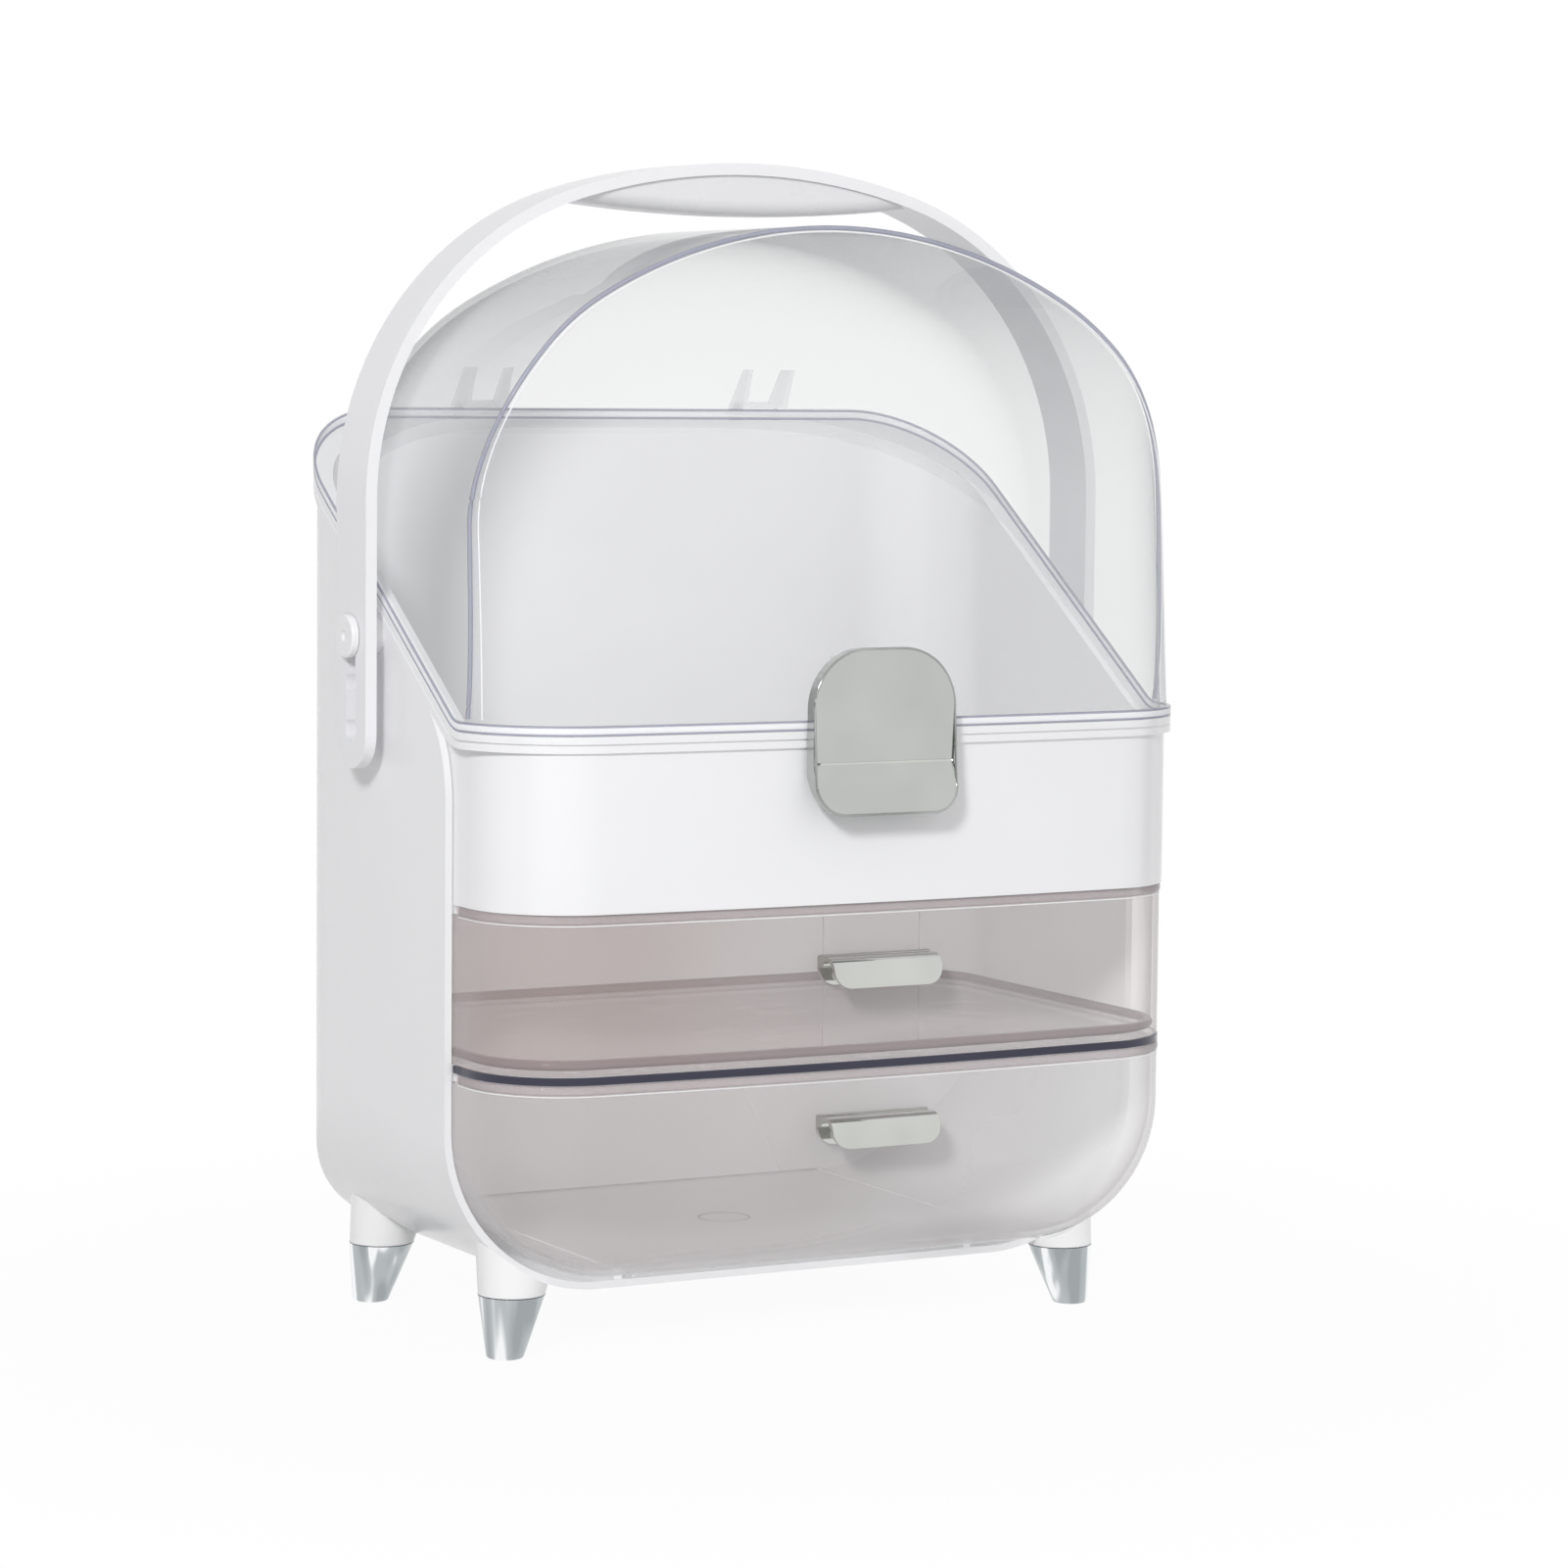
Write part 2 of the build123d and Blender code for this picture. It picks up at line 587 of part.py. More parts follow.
def drawer_pull(name, top_z):
    """Bent sheet pull: rolled bead and flange at the wall, lip curving out and down."""
    wall_y = -DRAWER_FRONT
    flange_y = wall_y - PULL_SHEET
    out_y = wall_y - PULL_REACH
    lip_y = out_y - PULL_FLARE
    low_z = top_z - PULL_HIGH
    with BuildPart() as pull:
        with BuildSketch(Plane.YZ) as section:
            with BuildLine():
                Polyline((wall_y + PULL_SHEET, top_z), (out_y, top_z), (lip_y, low_z),
                         (lip_y + PULL_SHEET, low_z), (out_y + PULL_SHEET, top_z - PULL_SHEET),
                         (flange_y, top_z - PULL_SHEET), (flange_y, low_z),
                         (wall_y + PULL_SHEET, low_z), close=True)
            make_face()
            outer_bend = section.vertices().sort_by_distance((out_y, top_z))[0]
            fillet(outer_bend, PULL_BEND + PULL_SHEET)
            inner_place = (out_y + PULL_SHEET, top_z - PULL_SHEET)
            inner_bend = section.vertices().sort_by_distance(inner_place)[0]
            fillet(inner_bend, PULL_BEND)
            with Locations((wall_y - PULL_BEAD, top_z - PULL_BEAD_DOWN)):
                Circle(PULL_BEAD)
        extrude(amount=PULL_WIDTH / 2, both=True)
        with BuildSketch(Plane.XZ) as front_view:
            with BuildLine():
                Polyline((-PULL_WIDTH / 2, low_z), (PULL_WIDTH / 2, low_z),
                         (PULL_WIDTH / 2, top_z + PULL_BEAD), (-PULL_WIDTH / 2, top_z + PULL_BEAD),
                         close=True)
            make_face()
            fillet(front_view.vertices().group_by(Axis.Y)[0], PULL_LIP_CORNER)
        extrude(amount=FAR, both=True, mode=Mode.INTERSECT)
        add(plan_prism(0, FAR, DRAWER_HALF, DRAWER_FRONT, DRAWER_BACK, DRAWER_CORNER,
                       BACK_CORNER - SHELL_WALL), mode=Mode.SUBTRACT)
        for side in SIDES.values():
            screw_z = top_z - PULL_SCREW_DOWN
            add(bar_y(PULL_SCREW, side * PULL_SCREW_X, screw_z, flange_y - PULL_SHEET, 0),
                mode=Mode.SUBTRACT)
    finish(name, pull)


def pull_screw(name, x, top_z):
    """Small screw through the pull's flange into the drawer front."""
    head_y = -DRAWER_FRONT - PULL_SHEET
    screw_z = top_z - PULL_SCREW_DOWN
    with BuildPart() as screw:
        add(bar_y(PULL_SCREW, x, screw_z, head_y, DRAWER_WALL - DRAWER_FRONT - SEAM_GAP))
        add(bar_y(PULL_SCREW_HEAD, x, screw_z, head_y - PULL_SCREW_HEAD_HIGH, head_y))
    finish(name, screw)


# Drawers with their pulls and screws
UPPER_LOW = SHELF_TOP + SLIDE_GAP
UPPER_HIGH = BIN_FLOOR_Z - SLIDE_GAP
LOWER_HIGH = SHELF_Z - SLIDE_GAP
drawer_tray("drawer_tray_upper", UPPER_LOW, UPPER_HIGH, 0, PULL_UPPER_Z)
drawer_tray("drawer_tray_lower", DRAWER_LOW_Z, LOWER_HIGH, DRAWER_LOW_RADIUS, PULL_LOWER_Z)
for level, pull_z in (("upper", PULL_UPPER_Z), ("lower", PULL_LOWER_Z)):
    drawer_pull(f"pull_{level}", pull_z)
    for side_name, side in SIDES.items():
        pull_screw(f"pull_screw_{level}_{side_name}", side * PULL_SCREW_X, pull_z)

# Clear lid: domed hood with a flange bead along the rim line
lid_outside = lid_form(0)
with BuildPart() as lid_hood:
    add(lid_outside)
    add(over_rim(LID_FLANGE), mode=Mode.INTERSECT)
    add(rim_ring(0, LID_FLANGE))
    add(lid_form(LID_WALL), mode=Mode.SUBTRACT)
finish("lid_hood", lid_hood)

# Lid hinges: white blocks on the bin rim, clear ears on the lid and a pin through each
for side_name, side in SIDES.items():
    hinge_x = side * HINGE_X
    block_low = HINGE_PIN_Z - HINGE_KNUCKLE - HINGE_BLOCK_DOWN
    block_high = rim_height(RIM_BACK, RIM_TOP_DROP)
    block_back = HINGE_PIN_Y + HINGE_PIN / 2
    with BuildPart() as hinge_block:
        with BuildSketch(Plane.YZ.offset(hinge_x - HINGE_BLOCK_WIDE / 2)):
            with BuildLine():
                Polyline((RIM_BACK, block_low), (RIM_BACK, block_high - EAR_GAP),
                         (RIM_BACK + EAR_GAP, block_high - EAR_GAP),
                         (RIM_BACK + EAR_GAP, HINGE_PIN_Z), (HINGE_PIN_Y, HINGE_PIN_Z),
                         (HINGE_PIN_Y + HINGE_KNUCKLE, HINGE_PIN_Z),
                         (block_back, HINGE_PIN_Z - HINGE_KNUCKLE), (block_back, block_low),
                         close=True)
            make_face()
            with Locations((HINGE_PIN_Y, HINGE_PIN_Z)):
                Circle(HINGE_KNUCKLE)
        extrude(amount=HINGE_BLOCK_WIDE)
        add(bar_x(HINGE_PIN, HINGE_PIN_Y, HINGE_PIN_Z, -FAR, FAR), mode=Mode.SUBTRACT)
        add(bar_y(HINGE_SCREW, hinge_x, HINGE_SCREW_Z, 0, FAR), mode=Mode.SUBTRACT)
    finish(f"hinge_block_{side_name}", hinge_block)

    with BuildPart() as hinge_screw:
        add(bar_y(HINGE_SCREW, hinge_x, HINGE_SCREW_Z, BODY_BACK, block_back))
        add(bar_y(HINGE_SCREW_HEAD, hinge_x, HINGE_SCREW_Z, block_back,
                  block_back + HINGE_SCREW_HEAD_HIGH))
    finish(f"hinge_screw_{side_name}", hinge_screw)

    ear_in = HINGE_BLOCK_WIDE / 2 + EAR_GAP
    ear_out = ear_in + EAR_THICK
    with BuildPart() as hinge_pin:
        add(bar_x(HINGE_PIN, HINGE_PIN_Y, HINGE_PIN_Z, hinge_x - ear_out - HINGE_PIN_END,
                  hinge_x + ear_out + HINGE_PIN_END))
    finish(f"hinge_pin_{side_name}", hinge_pin)

    ear_foot_z = rim_height(RIM_BACK, 0) + SEAM_GAP
    with BuildPart() as hinge_ears:
        for ear_x in (hinge_x - ear_out, hinge_x + ear_in):
            with BuildSketch(Plane.YZ.offset(ear_x)):
                with BuildLine():
                    Polyline((HINGE_PIN_Y, ear_foot_z), (HINGE_PIN_Y + HINGE_KNUCKLE / 2,
                              HINGE_PIN_Z + HINGE_KNUCKLE * 0.866),
                             (BODY_BACK - EAR_THICK, HINGE_PIN_Z + EAR_HIGH),
                             (BODY_BACK - LID_DOME / 4, HINGE_PIN_Z + EAR_HIGH),
                             (BODY_BACK - LID_DOME / 4, ear_foot_z), close=True)
                make_face()
                with Locations((HINGE_PIN_Y, HINGE_PIN_Z)):
                    Circle(HINGE_KNUCKLE)
            extrude(amount=EAR_THICK)
        with BuildPart(mode=Mode.PRIVATE) as ear_strip:
            add(block(hinge_x - ear_out, hinge_x + ear_out, 0, FAR, ear_foot_z,
                      ear_foot_z + EAR_STRIP_HIGH))
            add(lid_form(-EAR_STRIP), mode=Mode.INTERSECT)
        add(ear_strip.part)
        add(lid_outside, mode=Mode.SUBTRACT)
        add(bar_x(HINGE_PIN + PIN_PLAY, HINGE_PIN_Y, HINGE_PIN_Z, -FAR, FAR), mode=Mode.SUBTRACT)
    finish(f"hinge_ears_{side_name}", hinge_ears)

# Latch: lugs on the lid, a pin, and the chrome plate that swings on it
LATCH_BACK = -RIM_FRONT - LATCH_GAP
LATCH_FACE = LATCH_BACK - LATCH_DEEP
LATCH_PIN_Y = LATCH_BACK + LATCH_PIN + PIN_PLAY
with BuildPart() as latch_lugs:
    lug_out = LATCH_LUG_X + LATCH_LUG_THICK
    with BuildPart(mode=Mode.PRIVATE) as lug_base:
        add(block(-lug_out, lug_out, -FAR, 0, LATCH_PIN_Z - LATCH_KNUCKLE * 3,
                  LATCH_PIN_Z + LATCH_KNUCKLE * 3))
        add(lid_form(-LATCH_BASE), mode=Mode.INTERSECT)
    add(lug_base.part)
    for side in SIDES.values():
        with BuildSketch(Plane.YZ.offset(side * LATCH_LUG_X - LATCH_LUG_THICK / 2)):
            with BuildLine():
                Polyline((LATCH_PIN_Y, LATCH_PIN_Z + LATCH_KNUCKLE),
                         (LATCH_PIN_Y, LATCH_PIN_Z - LATCH_KNUCKLE),
                         (PANE_LEAN - BODY_FRONT, LATCH_PIN_Z - LATCH_KNUCKLE * 2.5),
                         (PANE_LEAN - BODY_FRONT, LATCH_PIN_Z + LATCH_KNUCKLE * 2.5), close=True)
            make_face()
            with Locations((LATCH_PIN_Y, LATCH_PIN_Z)):
                Circle(LATCH_KNUCKLE)
        extrude(amount=LATCH_LUG_THICK)
    add(lid_outside, mode=Mode.SUBTRACT)
    add(bar_x(LATCH_PIN, LATCH_PIN_Y, LATCH_PIN_Z, -FAR, FAR), mode=Mode.SUBTRACT)
finish("latch_lugs", latch_lugs)

with BuildPart() as latch_pin:
    add(bar_x(LATCH_PIN, LATCH_PIN_Y, LATCH_PIN_Z, -LATCH_PIN_LONG / 2, LATCH_PIN_LONG / 2))
finish("latch_pin", latch_pin)


def latch_outline(half, low, high, low_corner, top_corner):
    """Front view of the latch plate, run through its whole depth."""
    with BuildPart() as prism:
        with BuildSketch(Plane.XZ) as outline:
            with BuildLine():
                Polyline((-half, low), (half, low), (half, high), (-half, high), close=True)
            make_face()
            fillet(outline.vertices().group_by(Axis.Y)[0], low_corner)
            fillet(outline.vertices().group_by(Axis.Y)[-1], top_corner)
        extrude(amount=FAR, both=True)
    return prism.part


with BuildPart() as latch_plate:
    with BuildSketch(Plane.YZ):
        with BuildLine():
            lip_y = LATCH_FACE - LATCH_FLARE
            Polyline((LATCH_BACK, LATCH_TOP_Z), (LATCH_FACE, LATCH_TOP_Z),
                     (LATCH_FACE, LATCH_FOLD_Z), (lip_y, LATCH_BOTTOM_Z),
                     (lip_y + LATCH_SHEET, LATCH_BOTTOM_Z), (LATCH_BACK, LATCH_FOLD_Z - LATCH_DEEP),
                     close=True)
        make_face()
    extrude(amount=LATCH_WIDTH / 2, both=True)
    add(latch_outline(LATCH_WIDTH / 2, LATCH_BOTTOM_Z, LATCH_TOP_Z, LATCH_LOW_CORNER,
                      LATCH_TOP_CORNER), mode=Mode.INTERSECT)
    with BuildPart(mode=Mode.PRIVATE) as hollow:
        add(latch_outline(LATCH_WIDTH / 2 - LATCH_SHEET, LATCH_FOLD_Z, LATCH_TOP_Z - LATCH_SHEET,
                          LATCH_SHEET, LATCH_TOP_CORNER - LATCH_SHEET))
        add(block(-FAR, FAR, LATCH_FACE + LATCH_SHEET, 0, 0, FAR), mode=Mode.INTERSECT)
    add(hollow.part, mode=Mode.SUBTRACT)
    for side in SIDES.values():
        with BuildSketch(Plane.YZ.offset(side * LATCH_BOSS_X - LATCH_BOSS_THICK / 2)):
            with BuildLine():
                Polyline((LATCH_PIN_Y, LATCH_PIN_Z + LATCH_KNUCKLE),
                         (LATCH_FACE + LATCH_SHEET, LATCH_PIN_Z + LATCH_KNUCKLE),
                         (LATCH_FACE + LATCH_SHEET, LATCH_PIN_Z - LATCH_KNUCKLE),
                         (LATCH_PIN_Y, LATCH_PIN_Z - LATCH_KNUCKLE), close=True)
            make_face()
            with Locations((LATCH_PIN_Y, LATCH_PIN_Z)):
                Circle(LATCH_KNUCKLE)
        extrude(amount=LATCH_BOSS_THICK)
    add(bar_x(LATCH_PIN + PIN_PLAY, LATCH_PIN_Y, LATCH_PIN_Z, -LATCH_WIDTH / 2 + LATCH_SHEET,
              LATCH_WIDTH / 2 - LATCH_SHEET), mode=Mode.SUBTRACT)
finish("latch_plate", latch_plate)

# Handle pivots: a fixed bush in the shell, and a pin with a collar inside it and a knob outside
ARM_INSIDE = HANDLE_HALF - HANDLE_BAND
BUSH_OUT = ARM_INSIDE - SLIDE_GAP
KNOB_IN = HANDLE_HALF + SLIDE_GAP
COLLAR_IN = SHELL_INNER_HALF + PIN_PLAY
COLLAR_OUT = COLLAR_IN + PIVOT_COLLAR_THICK


def along(side, near, far):
    """Two distances from the centre as rising X values on one side."""
    return (near, far) if side > 0 else (-far, -near)


for side_name, side in SIDES.items():
    with BuildPart() as pivot_bush:
        add(bar_x(BUSH_RADIUS, PIVOT_Y, PIVOT_Z, *along(side, SHELL_INNER_HALF, BODY_HALF)))
        add(bar_x(BUSH_FLANGE, PIVOT_Y, PIVOT_Z, *along(side, BODY_HALF, BUSH_OUT)))
        add(bar_x(PIVOT_NECK + PIN_PLAY, PIVOT_Y, PIVOT_Z, -FAR, FAR), mode=Mode.SUBTRACT)
        add(bar_x(PIVOT_COLLAR + PIN_PLAY, PIVOT_Y, PIVOT_Z,
                  *along(side, SHELL_INNER_HALF, COLLAR_OUT + PIN_PLAY)), mode=Mode.SUBTRACT)
    finish(f"pivot_bush_{side_name}", pivot_bush)

    knob_out = KNOB_IN + PIVOT_KNOB_THICK
    with BuildPart() as pivot_pin:
        add(bar_x(PIVOT_COLLAR, PIVOT_Y, PIVOT_Z, *along(side, COLLAR_IN, COLLAR_OUT)))
        add(bar_x(PIVOT_NECK, PIVOT_Y, PIVOT_Z, *along(side, COLLAR_IN, KNOB_IN)))
        with BuildPart(mode=Mode.PRIVATE) as knob:
            add(bar_x(PIVOT_KNOB, PIVOT_Y, PIVOT_Z, *along(side, KNOB_IN, knob_out)))
            fillet(knob.edges().sort_by(Axis.X)[-1 if side > 0 else 0], PIVOT_KNOB_THICK / 3)
        add(knob.part)
        add(bar_x(PIVOT_DIMPLE, PIVOT_Y, PIVOT_Z,
                  *along(side, knob_out - PIVOT_DIMPLE_DEEP, knob_out)), mode=Mode.SUBTRACT)
    finish(f"pivot_pin_{side_name}", pivot_pin)

# Bail handle with a wavy slot in each arm end and a rounded grip under its top
handle_front = PIVOT_Y - HANDLE_DEEP / 2
handle_back = PIVOT_Y + HANDLE_DEEP / 2
handle_inside = arch_prism(ARM_INSIDE, HANDLE_TOP - HANDLE_BAND, HANDLE_SIDE_RADIUS - HANDLE_BAND,
                           HANDLE_TOP_RADIUS - HANDLE_BAND, 0, -FAR, FAR)
with BuildPart() as handle_arch:
    add(arch_prism(HANDLE_HALF, HANDLE_TOP, HANDLE_SIDE_RADIUS, HANDLE_TOP_RADIUS, HANDLE_END_Z,
                   handle_front, handle_back))
    add(handle_inside, mode=Mode.SUBTRACT)
    with BuildSketch(Plane.YZ) as arm_side:
        with BuildLine():
            Polyline((handle_front, HANDLE_END_Z), (handle_back, HANDLE_END_Z),
                     (handle_back, FAR), (handle_front, FAR), close=True)
        make_face()
        fillet(arm_side.vertices().group_by(Axis.Y)[0], HANDLE_DEEP / 2 - SEAM_GAP)
    extrude(amount=FAR, both=True, mode=Mode.INTERSECT)
    with BuildSketch(Plane.YZ) as slot:
        with Locations((PIVOT_Y, PIVOT_Z), (PIVOT_Y, PIVOT_Z - LIFT / 2), (PIVOT_Y, PIVOT_Z - LIFT)):
            Circle(SLOT_LOBE)
        with Locations((PIVOT_Y, PIVOT_Z - LIFT / 2)):
            Rectangle(2 * (PIVOT_NECK + SLOT_PLAY), LIFT)
    extrude(amount=FAR, both=True, mode=Mode.SUBTRACT)
finish("handle_arch", handle_arch)

with BuildPart() as grip_belly:
    with BuildSketch(Plane.XZ.offset(-PIVOT_Y)):
        with BuildLine():
            ThreePointArc((-GRIP_HALF, GRIP_END_Z), (0, GRIP_LOW_Z), (GRIP_HALF, GRIP_END_Z))
            Polyline((GRIP_HALF, GRIP_END_Z), (GRIP_HALF, FAR), (-GRIP_HALF, FAR),
                     (-GRIP_HALF, GRIP_END_Z))
        make_face()
    extrude(amount=GRIP_DEEP / 2, both=True)
    fillet(grip_belly.edges().filter_by(GeomType.CIRCLE), GRIP_ROUND)
    add(handle_inside, mode=Mode.INTERSECT)
finish("grip_belly", grip_belly)
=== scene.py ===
"""Makeup organizer with drawers: finishes, thin trim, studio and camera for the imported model."""
import json
from math import cos, radians, sin, tan

import bpy
import numpy as np
from mathutils import Matrix, Vector

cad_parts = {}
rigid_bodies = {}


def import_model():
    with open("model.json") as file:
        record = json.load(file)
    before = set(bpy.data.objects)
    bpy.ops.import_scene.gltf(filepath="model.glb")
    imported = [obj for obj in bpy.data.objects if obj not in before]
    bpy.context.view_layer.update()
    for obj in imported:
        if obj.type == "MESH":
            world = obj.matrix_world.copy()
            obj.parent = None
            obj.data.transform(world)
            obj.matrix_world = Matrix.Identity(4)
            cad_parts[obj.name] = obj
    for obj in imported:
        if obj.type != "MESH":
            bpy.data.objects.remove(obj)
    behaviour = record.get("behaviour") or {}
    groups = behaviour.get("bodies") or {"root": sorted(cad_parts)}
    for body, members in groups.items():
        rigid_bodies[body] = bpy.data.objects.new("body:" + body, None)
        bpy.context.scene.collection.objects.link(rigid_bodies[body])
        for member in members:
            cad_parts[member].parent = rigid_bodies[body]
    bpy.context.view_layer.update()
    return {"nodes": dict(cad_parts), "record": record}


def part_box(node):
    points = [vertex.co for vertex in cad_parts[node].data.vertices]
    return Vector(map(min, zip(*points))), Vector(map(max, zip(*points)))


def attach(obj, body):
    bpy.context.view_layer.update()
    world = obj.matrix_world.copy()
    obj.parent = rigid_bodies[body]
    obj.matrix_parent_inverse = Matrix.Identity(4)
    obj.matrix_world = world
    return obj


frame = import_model()

MM = 0.001

# Camera that matches the photograph, fitted to the object's corners, in millimetres and degrees
PHOTO_SIDE = 1601
FOCAL_PIXELS = 4871.9
CAMERA_AZIMUTH = -28.72
CAMERA_ELEVATION = 4.925
CAMERA_ROLL = 0.552
CAMERA_PLACE = (-784.97, -1461.94, 328.08)
SENSOR = 36.0
CAMERA_FAR = 100.0

# Sizes of the object that the trim below follows, in millimetres
BODY_HALF = 134.0
BODY_FRONT = 91.5
BODY_BACK = 93.9
BOW_RADIUS = 1650.0
FRONT_CORNER = 36.0
BACK_CORNER = 38.0
RIM_Z = 214.2
RIM_BREAK_Y = -52.0
RIM_ANGLE = radians(34.2)
RIM_BREAK_RADIUS = 12.0
RIM_PROUD_SIDE = 1.2
RIM_PROUD_ENDS = 2.2
LID_HALF = 133.5
LID_TOP = 377.3
LID_FLANGE = 3.4
LID_SIDE_RADIUS = 89.4
LID_TOP_RADIUS = 176.7
PANE_LEAN = 28.0
PANE_SIDE = 0.4
PANE_SPREAD = 10.6
DRAWER_HALF = 131.0
DRAWER_FRONT = 91.1
DRAWER_BACK = 88.9
DRAWER_CORNER = 33.0
DRAWER_WALL = 2.2
DRAWER_FLOOR = 2.4
DRAWER_LOW_Z = 27.8
FOOT_X = 111.0
FOOT_Y = 55.5
FEET_MIDDLE_Y = 13.5
FOOT_LEAN = (0.16, 0.10)
FOOT_CAP_HIGH = 21.0
FOOT_CAP_RADIUS = 11.3

# Unevenness of the finishes: waves per metre, height in metres and strength of the bump
CLOUD_WAVES = 14.0
GLOSS_WAVES = 60.0
PEEL_WAVES = 900.0
PEEL_HIGH = 0.0002
PEEL_STRENGTH = 0.04
RIPPLE_WAVES = 30.0
RIPPLE_HIGH = 0.001
RIPPLE_STRENGTH = 0.05
PLATING_WAVES = 40.0
HAIRLINE_WAVES = 120.0
HAIRLINE_HIGH = 0.0003
HAIRLINE_STRENGTH = 0.03
# Upright streaks on the feet's plating; its narrow, brightest bands are painted highlights
STREAK_AND_HIGHLIGHT_WAVES = (170.0, 170.0, 4.0)
STREAK_HIGH = 0.0005
STREAK_STRENGTH = 0.05
PAINTED_HIGHLIGHT_STOPS = (0.35, 0.55, 0.62)
FLOOR_WAVES = 3.0

# Where the noise turns to its low and high colour, and the clear plastics to their edge and rim
NOISE_LOW, NOISE_HIGH = 0.3, 0.7
EDGE_SHARE, RIM_SHARE = 0.45, 0.9

# Bending and strength of the plastics' reflections
MOULDING_IOR = 1.5
CLEAR_IOR = 1.49
CLEAR_SPECULAR = 0.3

# Change of the smoky tint over a drawer, painted light that turns its right side paler where light
# falls in from the left front: half its reach in metres, and its share of soft clouds
SWEEP_HALF = 0.1
SWEEP_CLOUDS = 0.6

# Sockets of the Mix node by number, because several of them share a name
MIX_SHARE, MIX_VALUE_A, MIX_VALUE_B, MIX_COLOUR_A, MIX_COLOUR_B = 0, 2, 3, 6, 7
MIX_VALUE, MIX_COLOUR = 0, 2


def set_camera():
    """Place the camera by azimuth, elevation and roll, with the lens from the focal length."""
    turn, rise, roll = (radians(v) for v in (CAMERA_AZIMUTH, CAMERA_ELEVATION, CAMERA_ROLL))
    back = Vector((sin(turn) * cos(rise), -cos(turn) * cos(rise), sin(rise)))
    right = Vector((cos(turn), sin(turn), 0.0))
    up = back.cross(right)
    right_rolled = right * cos(roll) + up * sin(roll)
    up_rolled = up * cos(roll) - right * sin(roll)
    place = Vector(CAMERA_PLACE) * MM
    camera_data = bpy.data.cameras.new("photo_camera")
    camera_data.sensor_width = SENSOR
    camera_data.lens = FOCAL_PIXELS / PHOTO_SIDE * SENSOR
    camera_data.clip_end = CAMERA_FAR
    camera = bpy.data.objects.new("photo_camera", camera_data)
    rotation = Matrix((right_rolled, up_rolled, back)).transposed().to_4x4()
    camera.matrix_world = Matrix.Translation(place) @ rotation
    bpy.context.scene.collection.objects.link(camera)
    bpy.context.scene.camera = camera


def new_material(name):
    """Empty node material with its Principled shader and node tree."""
    material = bpy.data.materials.new(name)
    material.use_nodes = True
    tree = material.node_tree
    return material, tree, tree.nodes["Principled BSDF"]


def set_sockets(node, **values):
    """Set constant values straight on a node's sockets; underscores stand for spaces."""
    for key, value in values.items():
        node.inputs[key.replace("_", " ")].default_value = value


def object_noise(tree, scale, detail=2.0):
    """Noise over Object coordinates, scale in waves per metre."""
    place = tree.nodes.new("ShaderNodeTexCoord")
    noise = tree.nodes.new("ShaderNodeTexNoise")
    set_sockets(noise, Scale=scale, Detail=detail)
    tree.links.new(place.outputs["Object"], noise.inputs["Vector"])
    return noise


def ramp(tree, source, stops):
    """Colour ramp fed by a value; stops are (position, colour)."""
    node = tree.nodes.new("ShaderNodeValToRGB")
    elements = node.color_ramp.elements
    while len(elements) < len(stops):
        elements.new(0.5)
    for element, (position, colour) in zip(elements, stops):
        element.position = position
        element.color = (*colour, 1.0)
    tree.links.new(source, node.inputs["Fac"])
    return node


def clouds(tree, waves, low, high, detail=2.0):
    """Colour that drifts between low and high with object noise."""
    noise = object_noise(tree, waves, detail)
    stops = ((NOISE_LOW, low), (NOISE_HIGH, high))
    return ramp(tree, noise.outputs["Fac"], stops).outputs["Color"]


def bump(tree, shader, source, strength, distance):
    """Bump from a height value."""
    node = tree.nodes.new("ShaderNodeBump")
    set_sockets(node, Strength=strength, Distance=distance)
    tree.links.new(source, node.inputs["Height"])
    tree.links.new(node.outputs["Normal"], shader.inputs["Normal"])


def moulded_plastic(name, low, high, rough_low, rough_high, peel_strength=PEEL_STRENGTH):
    """Glossy moulded plastic: faint cloudy colour, uneven gloss and a very fine orange peel."""
    material, tree, shader = new_material(name)
    tree.links.new(clouds(tree, CLOUD_WAVES, low, high), shader.inputs["Base Color"])
    rough = clouds(tree, GLOSS_WAVES, (rough_low,) * 3, (rough_high,) * 3, detail=3.0)
    tree.links.new(rough, shader.inputs["Roughness"])
    peel = object_noise(tree, PEEL_WAVES)
    bump(tree, shader, peel.outputs["Fac"], peel_strength, PEEL_HIGH)
    set_sockets(shader, IOR=MOULDING_IOR)
    return material


def left_to_right(tree):
    """0 at a drawer's left side to 1 at its right, blurred by large soft clouds: the share of the
    painted light on the paler right side.
    """
    place = tree.nodes.new("ShaderNodeTexCoord")
    parts = tree.nodes.new("ShaderNodeSeparateXYZ")
    tree.links.new(place.outputs["Object"], parts.inputs["Vector"])
    along = tree.nodes.new("ShaderNodeMapRange")
    set_sockets(along, From_Min=-SWEEP_HALF, From_Max=SWEEP_HALF,
                To_Min=-SWEEP_CLOUDS / 2, To_Max=1 - SWEEP_CLOUDS / 2)
    tree.links.new(parts.outputs["X"], along.inputs["Value"])
    share = tree.nodes.new("ShaderNodeMath")
    share.operation = "MULTIPLY_ADD"
    share.use_clamp = True
    share.inputs[1].default_value = SWEEP_CLOUDS
    soft = object_noise(tree, CLOUD_WAVES, detail=1.0)
    tree.links.new(soft.outputs["Fac"], share.inputs[0])
    tree.links.new(along.outputs["Result"], share.inputs[2])
    return share.outputs["Value"]


